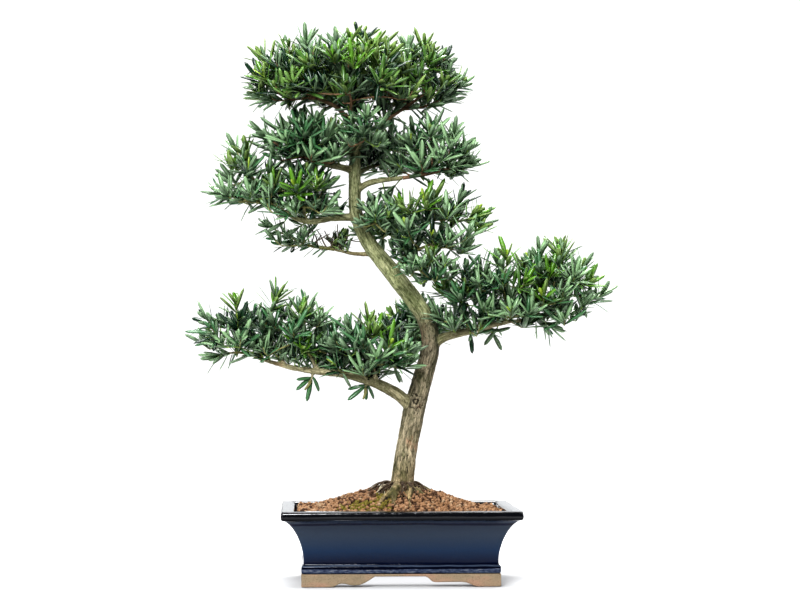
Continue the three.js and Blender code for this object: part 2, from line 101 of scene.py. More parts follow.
class Nodes:
    """A node tree, and short ways to add nodes to it."""

    def __init__(self, tree):
        self.tree = tree

    def set(self, made, values):
        for socket, value in values.items():
            if isinstance(value, bpy.types.NodeSocket):
                self.tree.links.new(value, made.inputs[socket])
            else:
                made.inputs[socket].default_value = value

    def node(self, kind, values=None, **settings):
        made = self.tree.nodes.new("ShaderNode" + kind)
        for key, value in settings.items():
            setattr(made, key, value)
        self.set(made, values or {})
        return made

    def span(self, factor, low, high, first=0, last=1):
        """The first value below low, the last above high, and even between."""
        values = {"Value": factor, "From Min": low, "From Max": high, "To Min": first,
                  "To Max": last}
        return self.node("MapRange", values).outputs["Result"]


class Finish(Nodes):
    """A material with one shader."""

    def __init__(self, name, roughness, specular=0.5, color=(0.5, 0.5, 0.5, 1)):
        self.material = bpy.data.materials.new(name)
        self.material.use_nodes = True
        self.material.diffuse_color = color
        super().__init__(self.material.node_tree)
        self.shader = self.tree.nodes["Principled BSDF"]
        looks = {"Base Color": color, "Roughness": roughness, "Specular IOR Level": specular}
        self.set(self.shader, looks)

    def place(self, stretch=(1, 1, 1)):
        """Object coordinates, in metres, scaled along each axis."""
        found = self.node("TexCoord").outputs["Object"]
        return self.node("Mapping", {"Vector": found, "Scale": stretch}).outputs["Vector"]

    def attribute(self, name, output="Fac"):
        return self.node("Attribute", attribute_name=name).outputs[output]

    def height(self):
        return self.node("SeparateXYZ", {"Vector": self.place()}).outputs["Z"]

    def noise(self, where, scale, detail=4, roughness=0.55, distortion=0.0):
        values = {"Vector": where, "Scale": scale, "Detail": detail, "Roughness": roughness,
                  "Distortion": distortion}
        return self.node("TexNoise", values).outputs["Fac"]

    def ramp(self, factor, *stops):
        """Colours along a factor: stops are pairs of a place and screen values, in order."""
        made = self.node("ValToRGB", {"Fac": factor})
        elements = made.color_ramp.elements
        for element, (where, color) in zip(elements, (stops[0], stops[-1])):
            element.position, element.color = where, tint(*color)
        for where, color in stops[1:-1]:
            elements.new(where).color = tint(*color)
        return made.outputs["Color"]

    def mix(self, factor, first, second, way="MIX"):
        values = {0: factor, 6: first, 7: second}
        return self.node("Mix", values, data_type="RGBA", blend_type=way).outputs[2]

    def shade(self, color, *layers):
        """A colour darkened by layers, each a share and a colour to multiply by."""
        for share, layer in layers:
            color = self.mix(share, color, layer, "MULTIPLY")
        return color

    def bump(self, height, strength, distance, under=None):
        values = {"Height": height, "Strength": strength, "Distance": distance}
        if under is not None:
            values["Normal"] = under
        return self.node("Bump", values).outputs["Normal"]

    def wear(self, color, normal):
        self.set(self.shader, {"Base Color": color, "Normal": normal})
        return self.material


# The pot's glaze, in metres above its soles: how far its edges wander, and where its body and
# its lip begin and end
GLAZE_DRIFT = 0.006
GLAZE_FOOT = 0.0188
GLAZE_TOP = 0.0955
BAND_TOP = 0.0185
LIP_LOW = 0.0835
LIP_HIGH = 0.0885
POOLED = (2, 6, 26)


def glaze_finish():
    """Dark blue glaze: nearly black where it breaks over the lip, pooled at the foot, and thin on
    the base band. Up the body it is painted lighter, partly as a painted reflection of the light
    above, and a line of painted shade lies under the lip."""
    it = Finish("glaze_navy", 0.1)
    height = it.height()
    drift = it.noise(it.place((6, 6, 30)), 1.2, 5)

    def drifting(level):
        values = {0: drift, 1: GLAZE_DRIFT, 2: level}
        return it.node("Math", values, operation="MULTIPLY_ADD").outputs[0]

    # Dark where the glaze pools at the foot, then lighter up the body, partly a painted reflection;
    # the dark line from 0.765 to 0.8 is painted shade under the lip's overhang
    body = it.ramp(
        it.span(drifting(height), GLAZE_FOOT, GLAZE_TOP),
        (0, POOLED), (0.105, POOLED), (0.122, (82, 94, 112)), (0.138, POOLED), (0.19, (6, 18, 44)),
        (0.36, (27, 48, 74)), (0.6, (52, 63, 78)), (0.765, (54, 63, 77)), (0.785, (12, 18, 44)),
        (0.8, (14, 20, 46)), (0.82, (62, 70, 86)), (0.85, (50, 58, 72)), (0.87, (7, 8, 14)),
        (1, (5, 6, 11)))
    cloud = it.ramp(drift, (0.3, (14, 22, 46)), (0.7, (62, 70, 84)))
    clouded = it.mix(0.35, body, cloud, "SOFT_LIGHT")
    mottle = it.ramp(it.noise(it.place((1, 1, 3)), 160, 6, 0.7),
                     (0.38, (8, 16, 40)), (0.52, (54, 64, 84)), (0.72, (108, 110, 114)))
    values = {0: height, 1: drifting(BAND_TOP)}
    on_band = it.node("Math", values, operation="LESS_THAN").outputs[0]
    ripple = it.noise(it.place(), 70, 3, 0.5)
    pits = it.noise(it.place(), 420, 2, 0.5)
    it.set(it.shader, {"Roughness": it.span(on_band, 0, 1, 0.1, 0.42),
                       "Specular IOR Level": it.span(height, LIP_LOW, LIP_HIGH, 0.16, 0.7)})
    normal = it.bump(pits, 0.12, 0.0004, it.bump(ripple, 0.3, 0.0012))
    return it.wear(it.mix(on_band, clouded, mottle), normal)


def clay_finish():
    """Unglazed clay of the feet, pinkish in places, with fine grog."""
    it = Finish("clay_bare", 0.8, specular=0.25)
    patches = it.ramp(it.noise(it.place((1, 1, 2.5)), 26, 4),
                      (0.3, (112, 102, 82)), (0.5, (132, 115, 93)), (0.68, (146, 117, 97)))
    grog = it.noise(it.place(), 900, 3, 0.6)
    specks = it.ramp(grog, (0.34, (120, 100, 78)), (0.45, WHITE))
    return it.wear(it.shade(patches, (0.6, specks)), it.bump(grog, 0.4, 0.0006))


# Soil and twigs: the dark and the light of each
# The soil under the granules is dark partly for its own colour and partly as painted shade in the
# gaps between them
SOIL_COLOURS = {
    "soil_and_gap_shade": ((26, 18, 12), (50, 34, 24)), "granule_tan": ((122, 92, 68), (146, 114, 86)),
    "granule_brown": ((106, 78, 54), (134, 102, 74)), "granule_dark": ((52, 36, 26), (82, 58, 42)),
    "granule_pale": ((130, 106, 82), (154, 130, 104)),
    "granule_mossy": ((74, 68, 24), (114, 102, 46))}
TWIG_COLOURS = {
    "root_dark": ((48, 38, 28), (88, 72, 54)), "root_grey": ((116, 110, 88), (172, 162, 138)),
    "twig_dark": ((48, 42, 34), (104, 94, 74)), "twig_brown": ((88, 66, 46), (138, 108, 82)),
    "twig_olive": ((92, 92, 50), (132, 130, 84)), "twig_green": ((86, 116, 44), (134, 158, 72))}


def soil_finish(name):
    """Fired-clay granules, each a little different from the next."""
    it = Finish(name, 0.92, specular=0.15)
    dark, light = SOIL_COLOURS[name]
    tone = it.ramp(it.noise(it.place(), 210, 3, 0.6), (0.3, dark), (0.7, light))
    return it.wear(tone, it.bump(it.noise(it.place(), 1100, 3, 0.7), 0.6, 0.0008))


def bark_finish():
    """Bark: fissured, tan and flaking low down, smoother and olive green above. Its grain follows
    the limb, and trunk_and_boughs() says how young, brown and grooved each place is, with painted
    shade in the knots' grooves and near the soil, and how much painted light and shade the trunk
    gets."""
    it = Finish("bark", 0.82, specular=0.2)
    grain = it.attribute("grain", "Vector")
    along = it.node("Mapping", {"Vector": grain, "Scale": (1, 1, 0.16)}).outputs["Vector"]
    streaks = it.noise(along, 4, 6, 0.7, 0.6)
    patches = it.noise(it.place((1, 1, 0.45)), 42, 5, 0.65)
    old = it.ramp(streaks, (0.3, (66, 62, 52)), (0.45, (143, 134, 112)), (0.6, (197, 183, 155)),
                  (0.75, (224, 210, 182)))
    green = it.ramp(streaks, (0.3, (72, 78, 50)), (0.48, (128, 132, 96)), (0.7, (168, 168, 136)))
    cracks = it.ramp(it.noise(along, 13, 5, 0.7), (0.36, (96, 88, 72)), (0.47, WHITE))
    damp = it.ramp(it.span(it.height(), 0.108, 0.16), (0, (206, 192, 166)), (1, WHITE))
    clumps = it.ramp(it.noise(along, 1.4, 5, 0.65), (0.38, (158, 162, 146)),
                     (0.52, (255, 254, 250)))
    spots = it.noise(it.place((1, 1, 0.5)), 330, 4, 0.7)
    specks = it.ramp(spots, (0.36, (150, 154, 140)), (0.5, WHITE))
    # Dark fissures of the bark, with painted shade in the knots' grooves and near the soil
    deep = it.ramp(it.attribute("groove"), (0.18, (76, 70, 54)), (0.42, WHITE))
    flaked = it.mix(it.span(patches, 0.58, 0.66, 0, 0.7), old, tint(176, 138, 112))
    mossed = it.mix(it.span(patches, 0.36, 0.5, 1, 0), flaked, tint(90, 92, 60))
    aged = it.mix(it.attribute("young"), mossed, green)
    aged = it.shade(aged, (0.8, cracks), (1, damp), (1, clumps), (0.8, specks))
    brown = it.mix(it.attribute("brown"), aged, tint(132, 106, 82))
    # Painted shade under the foliage and painted light on the trunk's bend
    values = {"Value": it.attribute("tone"), "Color": it.shade(brown, (0.9, deep))}
    painted_light = it.node("HueSaturation", values).outputs["Color"]
    fine = it.noise(along, 26, 5, 0.7)
    return it.wear(painted_light, it.bump(fine, 0.5, 0.0012, it.bump(streaks, 0.6, 0.0016)))


def twig_finish(name):
    """Thin bark of the twigs."""
    it = Finish(name, 0.7, specular=0.25)
    dark, light = TWIG_COLOURS[name]
    tone = it.ramp(it.noise(it.place(), 260, 3), (0.35, dark), (0.65, light))
    return it.wear(tone, it.bump(it.noise(it.place(), 700, 2), 0.4, 0.0005))


def leaf_finish(name, color, roughness):
    """Plain base colour, as it is dealt out by spray; the gloss is the shader's own."""
    return Finish(name, roughness, specular=0.45, color=tint(*color)).material


# Lines and limbs, as the solids have them
def smooth_line(stations, steps):
    """A smooth line through stations whose first three values are its place, with so many steps to
    a span."""
    knots = np.array(stations, float)
    ends = np.vstack([2 * knots[0] - knots[1], knots, 2 * knots[-1] - knots[-2]])
    line = []
    for p0, p1, p2, p3 in zip(ends, ends[1:], ends[2:], ends[3:]):
        d0, d1, d2 = (np.linalg.norm((b - a)[:3]) ** 0.5 for a, b in ((p0, p1), (p1, p2), (p2, p3)))
        m1 = d1 * ((p1 - p0) / d0 - (p2 - p0) / (d0 + d1) + (p2 - p1) / d1)
        m2 = d1 * ((p2 - p1) / d1 - (p3 - p1) / (d1 + d2) + (p3 - p2) / d2)
        t = np.arange(steps)[:, None] / steps
        bend = (3 * (p2 - p1) - 2 * m1 - m2) * t**2 + (2 * (p1 - p2) + m1 + m2) * t**3
        line.append(p1 + m1 * t + bend)
    return np.vstack([*line, knots[-1:]])


class Limb:
    """A tube that tapers along a smooth line through a few (x, y, z, radius) stations."""

    def __init__(self, stations, steps=14):
        line = smooth_line(stations, steps)
        self.points, self.radii = line[:, :3], line[:, 3]
        spans = np.linalg.norm(np.diff(self.points, axis=0), axis=1)
        self.reached = np.concatenate([[0], np.cumsum(spans)])
        self.length = self.reached[-1]

    def at(self, share):
        columns = [np.interp(share * self.length, self.reached, column) for column in self.points.T]
        return np.stack(columns, -1)

    def radius_at(self, share):
        return np.interp(share * self.length, self.reached, self.radii)

    def frames(self, shares):
        """Places, and two directions across the limb that turn as little as they can along it."""
        places = self.at(shares)
        tangents = np.gradient(places, axis=0)
        tangents /= np.linalg.norm(tangents, axis=1)[:, None]
        across = np.cross(tangents[0], (0.3, 0.9, 0.2))
        sides = []
        for tangent in tangents:
            across = across - tangent * np.dot(across, tangent)
            across = across / np.linalg.norm(across)
            sides.append(across)
        return places, np.array(sides), np.cross(tangents, np.array(sides))

    def tip(self):
        direction = self.points[-1] - self.points[-2]
        return Vector(self.points[-1]), Vector(direction / np.linalg.norm(direction))

    def side_towards(self, target):
        """The place on the limb's side that faces a point."""
        nearest = int(np.argmin(np.linalg.norm(self.points - np.array(target), axis=1)))
        middle = Vector(self.points[nearest])
        direction = (target - middle).normalized()
        return middle + direction * self.radii[nearest], direction


def tapering(points, root_radius, tip_radius):
    """Stations along a line of points, with the radius falling evenly over its length."""
    line = np.array(points, float)
    reached = np.concatenate([[0], np.cumsum(np.linalg.norm(np.diff(line, axis=0), axis=1))])
    radii = np.interp(reached / reached[-1], (0, 1), (root_radius, tip_radius))
    return np.column_stack([line, radii])


TRUNK = Limb([
    (2, 0, 92, 18), (5, 0, 122, 14.8), (9, -1, 155, 13.4), (19, -4, 210, 13.8),
    (28.5, -3, 246, 12.6), (40.5, 3, 296, 11.5), (34, 8, 327, 11.2), (-4, 9, 380, 11.2),
    (-40, 4, 426, 9.3), (-53, 1, 458, 8.1), (-55, 0, 500, 7.7), (-55, -2, 540, 6.6),
    (-61, -3, 563, 5.2), (-68, -3, 583, 4.1)])

# Boughs, risers and spurs: the limb each grows from, how far along that limb, the knees it runs
# through to its tip, and its radii at root and tip
BOUGHS = {
    "bough_low_left": ("trunk", 0.23, [(-2, -12, 232), (-50, -22, 253), (-128, -8, 264),
                                       (-170, 0, 275)], 8.4, 2.3),
    "bough_right": ("trunk", 0.38, [(54, 0, 301), (90, -8, 311), (130, -7, 321), (166, 0, 326)],
                    6.6, 1.9),
    "bough_middle_right": ("trunk", 0.59, [(10, -11, 404), (19, -17, 409)], 4.5, 2.5),
    "bough_third_left": ("trunk", 0.75, [(-81, -6, 452), (-116, -16, 447), (-158, -12, 467)],
                         5.3, 2.7),
    "bough_fourth_left": ("trunk", 0.65, [(-53, 14, 408), (-80, 24, 414)], 3.4, 2),
    "bough_third_back": ("trunk", 0.71, [(-40, 26, 446), (-30, 46, 454)], 3.8, 2.3),
    "bough_second_right": ("trunk", 0.81, [(-37, -4, 496), (5, -9, 502)], 4.6, 2.7),
    "bough_second_left": ("trunk", 0.86, [(-71, -7, 515), (-97, -14, 519)], 5, 3.2),
    "bough_second_back": ("trunk", 0.85, [(-41, 24, 516), (-28, 44, 522)], 3.6, 2.2),
    "bough_second_front": ("trunk", 0.895, [(-51, -18, 540), (-47, -30, 545)], 3, 1.9),
    "bough_crown_left": ("trunk", 0.99, [(-76, -8, 589), (-102, -14, 601)], 3.6, 2.2),
    "bough_crown_right": ("trunk", 0.91, [(-42, 2, 556), (6, 4, 590)], 4.4, 2.3),
    "bough_crown_front": ("trunk", 0.955, [(-61, -20, 577), (-60, -34, 588)], 3.4, 2.1),
    "bough_crown_back": ("trunk", 0.94, [(-57, 20, 576), (-57, 36, 594)], 3.6, 2.2),
    "bough_low_back": ("trunk", 0.405, [(34, 32, 314), (28, 54, 324)], 4.6, 2.8),
    "riser_low_middle": ("bough_low_left", 0.65, [(-105, -16, 270), (-109, -17, 278)], 3.2, 2.3),
    "riser_low_inner": ("bough_low_left", 0.29, [(-31, -28, 260), (-33, -33, 267)], 3.4, 2.4),
    "riser_low_tip": ("bough_low_left", 0.845, [(-150, 0, 278), (-160, 3, 286)], 2.8, 2),
    "riser_right_inner": ("bough_right", 0.42, [(87, -8, 321), (85, -8, 326)], 3, 2.2),
    "riser_right_middle": ("bough_right", 0.57, [(112, -14, 325), (117, -16, 331)], 2.8, 2.1),
    "riser_third_inner": ("bough_third_left", 0.58, [(-118, -21, 456), (-118, -24, 462)], 2.8, 2.1),
    "riser_middle_low": ("bough_middle_right", 0.4, [(12, -15, 394), (17, -23, 391)], 2.4, 1.7),
    "spur_low_inner": ("bough_low_left", 0.35, [(-42, -24, 242), (-42, -25, 239)], 2, 1.4),
    "spur_low_middle": ("bough_low_left", 0.68, [(-109, -16, 250), (-110, -17, 248)], 2, 1.4),
}
LIMBS = {"trunk": TRUNK}
for limb_name, (parent, share, knees, root_radius, tip_radius) in BOUGHS.items():
    LIMBS[limb_name] = Limb(tapering([LIMBS[parent].at(share), *knees], root_radius, tip_radius))

# Masses of foliage by tier: the limb that feeds each, its centre and half sizes, how far it hangs
# under its centre as a share of its half height, and its count of main shoots
TIERS = {
    "crown": {
        "foliage_crown_left": ("bough_crown_left", (-137, -4, 635), (66, 62, 54), 0.95, 5),
        "foliage_crown_right": ("bough_crown_right", (33, 2, 638), (63, 62, 58), 0.8, 5),
        "foliage_crown_front": ("bough_crown_front", (-62, -48, 632), (90, 58, 62), 0.5, 5),
        "foliage_crown_back": ("bough_crown_back", (-47, 52, 648), (96, 60, 63), 0.88, 5),
    },
    "second": {
        "foliage_second_left": ("bough_second_left", (-111, -12, 554), (65, 60, 47), 0.85, 5),
        "foliage_second_right": ("bough_second_right", (42, -8, 541), (70, 60, 51), 0.85, 5),
        "foliage_second_back": ("bough_second_back", (-13, 72, 549), (59, 50, 43), 0.9, 4),
        "foliage_second_front": ("bough_second_front", (-44, -46, 563), (39, 38, 35), 0.9, 2),
    },
    "third": {
        "foliage_third_tip": ("bough_third_left", (-189, -5, 503), (55, 56, 62), 0.45, 5),
        "foliage_third_inner": ("riser_third_inner", (-121, -20, 488), (62, 58, 47), 0.85, 5),
        "foliage_third_back": ("bough_third_back", (-13, 74, 456), (52, 46, 35), 0.9, 4),
        "foliage_fourth_left": ("bough_fourth_left", (-117, 20, 436), (63, 50, 32), 0.7, 4),
    },
    "middle": {
        "foliage_middle_right": ("bough_middle_right", (44, -12, 448), (76, 62, 55), 0.9, 6),
        "foliage_middle_low": ("riser_middle_low", (37, -32, 393), (42, 36, 33), 0.9, 3),
        "foliage_trunk_tuft": ("trunk", (-27, -26, 457), (31, 30, 32), 0.9, 3),
    },
    "right": {
        "foliage_right_outer": ("bough_right", (203, 0, 370), (72, 64, 70), 0.7, 6),
        "foliage_right_middle": ("riser_right_middle", (134, -14, 369), (62, 62, 60), 0.85, 4),
        "foliage_right_inner": ("riser_right_inner", (82, -4, 353), (53, 60, 58), 0.85, 4),
    },
    "low": {
        "foliage_low_tip": ("riser_low_tip", (-202, 2, 318), (65, 60, 50), 0.8, 5),
        "foliage_low_middle": ("riser_low_middle", (-130, -10, 319), (66, 62, 46), 0.85, 5),
        "foliage_low_inner": ("riser_low_inner", (-37, -34, 295), (74, 60, 49), 0.85, 5),
        "foliage_low_back": ("bough_low_back", (28, 84, 325), (54, 58, 41), 0.85, 5),
        "foliage_drop_inner": ("spur_low_inner", (-45, -27, 237), (32, 26, 22), 1, 1),
        "foliage_drop_middle": ("spur_low_middle", (-117, -18, 248), (32, 26, 21), 1, 1),
    },
}

# Surface roots: azimuth in degrees, reach, radius and sideways bow
ROOTS = [
    (-119, 74, 5.4, 6), (-102, 72, 4.6, -5), (-84, 62, 3.6, 6), (-160, 44, 3.6, -6),
    (-12, 42, 3.8, 5), (-50, 46, 3.4, -5), (38, 46, 3.8, 6), (88, 50, 4.2, -6), (135, 48, 3.8, 5)]


def soil_height(x, y):
    """The soil stands a little below the rim and rises in a low mound to the trunk."""
    wide, deep = abs(x / MOUND_HALF_LENGTH), abs(y / MOUND_HALF_DEPTH)
    out = math.hypot(wide, deep, max(wide, deep))
    share = clamped((out / 1.2 - 0.27) / 0.73) * (0.93 if x < 0 else 1)
    lumps = 0.9 * math.sin(x * 0.11 + 1.3) * math.sin(y * 0.13) * min(1, share * 4)
    return GROUND_HEIGHT - (GROUND_HEIGHT - SOIL_EDGE_HEIGHT) * share**1.05 + lumps


# Mesh tools
def finished(mesh, name, materials, replaced=(), smooth=True):
    """Brings a mesh in millimetres into the frame as a piece of the plant's one body."""
    mesh.transform(Matrix.Translation(POT_CENTRE) @ Matrix.Scale(MM, 4))
    if smooth:
        mesh.polygons.foreach_set("use_smooth", [True] * len(mesh.polygons))
    for made in materials:
        mesh.materials.append(made)
    piece = bpy.data.objects.new(name, mesh)
    bpy.context.scene.collection.objects.link(piece)
    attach(piece, "root")
    if replaced:
        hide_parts(*replaced)
    return piece


def mesh_of(bm, name):
    mesh = bpy.data.meshes.new(name)
    bm.to_mesh(mesh)
    bm.free()
    return mesh


class Template:
    """A small mesh that is copied many times, as arrays."""

    def __init__(self, bm):
        bm.faces.ensure_lookup_table()
        self.places = np.array([v.co for v in bm.verts])
        self.corners = np.array([v.index for f in bm.faces for v in f.verts])
        self.totals = np.array([len(f.verts) for f in bm.faces])
        self.materials = np.array([f.material_index for f in bm.faces])
        bm.free()


def joined(name, batches):
    """One mesh of many copies. Each batch has a template, an array of a place for each of its
    vertices in each copy, and a table of each copy's material numbers for the template's."""
    mesh = bpy.data.meshes.new(name)
    places, corners, totals, materials = [], [], [], []
    base = 0
    for template, copies, numbers in batches:
        count, size = copies.shape[:2]
        places.append(copies.reshape(-1, 3))
        firsts = base + size * np.arange(count)[:, None]
        corners.append((template.corners[None] + firsts).ravel())
        totals.append(np.tile(template.totals, count))
        own = np.tile(template.materials, (count, 1))
        materials.append(np.take_along_axis(np.array(numbers), own, 1).ravel())
        base += count * size
    places, corners = np.concatenate(places), np.concatenate(corners)
    totals, materials = np.concatenate(totals), np.concatenate(materials)
    mesh.vertices.add(len(places))
    mesh.vertices.foreach_set("co", places.ravel())
    mesh.loops.add(len(corners))
    mesh.loops.foreach_set("vertex_index", corners)
    mesh.polygons.add(len(totals))
    mesh.polygons.foreach_set("loop_start", np.cumsum(totals) - totals)
    mesh.polygons.foreach_set("material_index", materials)
    mesh.update(calc_edges=True)
    return mesh


def tube_template(sides, rings):
    """An upright cylinder one unit long and of radius 1, with rings of vertices along it."""
    bm = bmesh.new()
    bmesh.ops.create_cone(bm, cap_ends=True, segments=sides, radius1=1, radius2=1, depth=1)
    uprights = [e for e in bm.edges if abs(e.verts[0].co.z - e.verts[1].co.z) > 0.5]
    bmesh.ops.subdivide_edges(bm, edges=uprights, cuts=rings - 1)
    bm.verts.index_update()
    return Template(bm)


def along(template, limb):
    """The template's vertices, bent along a limb."""
    shares = np.round(template.places[:, 2] + 0.5, 6)
    rows, row = np.unique(shares, return_inverse=True)
    places, first, second = limb.frames(rows)
    radii = limb.radius_at(rows)[row][:, None]
    x, y = template.places[:, :1], template.places[:, 1:2]
    return places[row] + (first[row] * x + second[row] * y) * radii


def worn(bm, edges, size, segments):
    """Rounds edges off."""
    bmesh.ops.bevel(bm, geom=edges, offset=size, offset_type="OFFSET", segments=segments,
                    profile=0.5, affect="EDGES", material=-1, clamp_overlap=True)


# Trunk, boughs and roots
VOXEL = 1.1
SMOOTHINGS = 4
TRUNK_FOOT_X = 5
ROOTLETS = 22
ROOTLET_START = 10
FINE_ROOTS = 130
FINE_ROOT_START = 11

# Bare twigs stand on the fourth left bough, along this line
BARE_LINE = [(-68, 19.5, 412), (-80, 24, 414), (-112, 22, 418.5)]
BARE_TWIGS = 20

# Healed knots: centre, radius, and how far each stands out
KNOTS = [((20.5, -16.6, 223), 5.4, 1.5), ((-57, -7, 477), 3.2, 0.5), ((8, -4, 362), 3.6, 0.5),
         ((-52, -9.5, 487), 2.6, 0.4), ((14, -13, 178), 3.2, 0.4), ((38, -8, 318), 3.8, 0.6),
         ((-46, -8, 441), 3.4, 0.5)]

# The bark turns smooth and green over one stretch of height, and brown over a higher one
GREEN_FROM = 292
GREEN_OVER = 50
BROWN_FROM = 530
BROWN_OVER = 40
BROWNNESS = {"crown": 0.85, "second": 0.12, "fourth": 0.35}
USUAL_BROWNNESS = 0.1

# The trunk is painted darker from its lowest fork to its bend, as painted shade under the foliage,
# and lighter above it, as painted light on the bend: heights, and how light it is painted there
PAINTED_LIGHT_HEIGHTS = (165, 208, 225, 262, 286, 318, 345, 380, 400, 450)
PAINTED_LIGHT_LEVELS = (1, 0.66, 0.56, 0.58, 0.4, 0.52, 1.45, 1.45, 1.2, 1)

# Relief fades where limbs meet, thin limbs are smoother, and bark near the soil is darkened with
# painted shade
MERGING_ROOM = 7
ROUGH_BOUGH = 9
ROUGH_ROOT = 4
SOIL_SHADE_HEIGHT = 6
GRAIN_STEP = 2.5
GRAIN_SHIFT = 137


def root_limb(azimuth, reach, radius, bow):
    """A root swells out of the trunk's foot and runs half sunk in the soil."""
    angle = math.radians(azimuth)
    out = Vector((math.cos(angle), math.sin(angle)))
    side = Vector((-out.y, out.x))

    def station(away, sideways, above, size):
        x, y = Vector((TRUNK_FOOT_X, 0)) + out * away + side * sideways
        return (x, y, soil_height(x, y) + above * radius, size * radius)

    return Limb([
        station(2, 0, 3.2, 1.5), station(13, 0, 1, 1.25), station(reach * 0.42, bow, 0.5, 1.1),
        station(reach * 0.7, bow * 0.4, 0, 0.85), station(reach, 0, -0.9, 0.5)])


def from_foot(away, turn):
    """The place on the ground at a distance from the trunk's foot and an angle round it."""
    return TRUNK_FOOT_X + away * math.cos(turn), away * math.sin(turn)


def rootlet_limbs():
    """Thin roots that wander out of the trunk's foot over the soil."""
    chance = random.Random(SEED)
    made = []
    for _ in range(ROOTLETS):
        angle = math.radians(chance.uniform(-200, 20))
        reach = chance.uniform(30, 58)
        radius = chance.uniform(0.9, 2.2)
        line = []
        for away in np.linspace(ROOTLET_START, reach, 6):
            x, y = from_foot(away, angle + chance.uniform(-0.22, 0.22))
            line.append((x, y, soil_height(x, y) + chance.uniform(-0.4, 3.4) - 2 * away / reach))
        made.append(Limb(tapering(line, radius, radius * 0.5)))
    return made


def thin_tubes(name, limbs, numbers, skins):
    """Thin roots or twigs as one piece, each with the number of its own skin."""
    tube = tube_template(5, 14)
    mesh = joined(name, [(tube, np.array([along(tube, limb) for limb in limbs]), numbers)])
    return finished(mesh, name, [twig_finish(skin) for skin in skins])


def fine_roots():
    """Threads of root that loop out of the trunk's foot and over the soil, shorter on the right."""
    chance = random.Random(SEED + 9)
    limbs = []
    for _ in range(FINE_ROOTS):
        angle = math.radians(chance.triangular(-235, 40, -140))
        reach = chance.uniform(22, 52) if math.cos(angle) < 0.3 else chance.uniform(20, 36)
        radius = chance.uniform(0.5, 1.4)
        arch = chance.uniform(0, 8)
        line = []
        for away in np.linspace(FINE_ROOT_START, reach, 6):
            share = (away - FINE_ROOT_START) / (reach - FINE_ROOT_START)
            x, y = from_foot(away, angle + chance.uniform(-0.25, 0.25) * share)
            level = soil_height(x, y) + 3 + arch * math.sin(math.pi * share) - 4.5 * share
            line.append((x, y, level))
        limbs.append(Limb(tapering(line, radius, radius * 0.5), 5))
    numbers = [[chance.choice((0, 0, 1))] for _ in limbs]
    return thin_tubes("fine_roots", limbs, numbers, ["root_dark", "root_grey"])


def bare_twigs():
    """Old twigs without leaves, standing crooked on the fourth left bough near the trunk."""
    chance = random.Random(SEED + 21)
    limbs = []
    for _ in range(BARE_TWIGS):
        share = chance.uniform(0, len(BARE_LINE) - 1)
        first = min(int(share), len(BARE_LINE) - 2)
        line = [Vector(BARE_LINE[first]).lerp(Vector(BARE_LINE[first + 1]), share - first)]
        lean = Vector((chance.uniform(-0.8, 0.8), chance.uniform(-0.4, 0.4), 1)).normalized()
        step = chance.uniform(3.6, 7.2)
        for _ in range(5):
            lean = (lean + scatter(chance, 0.5)).normalized()
            line.append(line[-1] + lean * step)
        limbs.append(Limb(tapering(line, 1.1, 0.6), 5))
    return thin_tubes("bare_twigs", limbs, [[0]] * len(limbs), ["twig_dark"])


def fused(mesh):
    """Grown together: one skin round tubes that run into each other."""
    block = bpy.data.objects.new("block", mesh)
    bpy.context.scene.collection.objects.link(block)
    remesh = block.modifiers.new("fuse", "REMESH")
    remesh.mode = "VOXEL"
    remesh.voxel_size = VOXEL
    whole = block.evaluated_get(bpy.context.evaluated_depsgraph_get())
    skin = bpy.data.meshes.new_from_object(whole)
    bpy.data.objects.remove(block)
    bm = bmesh.new()
    bm.from_mesh(skin)
    for _ in range(SMOOTHINGS):
        bmesh.ops.smooth_vert(bm, verts=bm.verts, factor=0.5, use_axis_x=True, use_axis_y=True,
                              use_axis_z=True)
    return bm


def nearest_limbs(places, limbs):
    """For every place: its limb, the place along and across that limb, and its room to the next
    limb."""
    room = np.full(len(places), 1e6)
    second = np.full(len(places), 1e6)
    found = np.zeros(len(places), int)
    grain = np.zeros((len(places), 3))
    for number, limb in enumerate(limbs):
        shares = np.linspace(0, 1, max(8, int(limb.length / GRAIN_STEP)))
        middles, first, other = limb.frames(shares)
        radii = limb.radius_at(shares)
        near = np.argmin(np.linalg.norm(places[:, None] - middles[None], axis=2), axis=1)
        offset = places - middles[near]
        clear = np.linalg.norm(offset, axis=1) - radii[near]
        closer = clear < room
        second = np.where(closer, room, np.minimum(second, clear))
        room = np.where(closer, clear, room)
        found = np.where(closer, number, found)
        across = np.stack([(offset * first[near]).sum(1), (offset * other[near]).sum(1)], 1)
        tangent = np.cross(first[near], other[near])
        reached = shares[near] * limb.length
        length = reached + (offset * tangent).sum(1) + GRAIN_SHIFT * number
        grain = np.where(closer[:, None], np.column_stack([across, length]), grain)
    return found, grain, second - room


def relief_of(place, grain, rough):
    """How far the bark stands out, in millimetres, and how open its fissures are, from 0 to 1."""
    a, b, s = grain
    plates = noise.noise((a * 0.3, b * 0.3, s * 0.05))
    cracks = noise.noise((a * 0.75 + 9, b * 0.75, s * 0.1))
    lumps = noise.noise((place[0] * 0.09, place[1] * 0.09, place[2] * 0.06))
    fine = noise.fractal((a * 0.5, b * 0.5, s * 0.25), 0.8, 2.1, 3)
    fissure = max(0, 1 - abs(plates) / 0.14) * 0.8 + max(0, 1 - abs(cracks) / 0.12) * 0.45
    return rough * (0.3 * fine - 0.95 * fissure) + 0.7 * lumps * min(1, rough * 2), min(1, fissure)


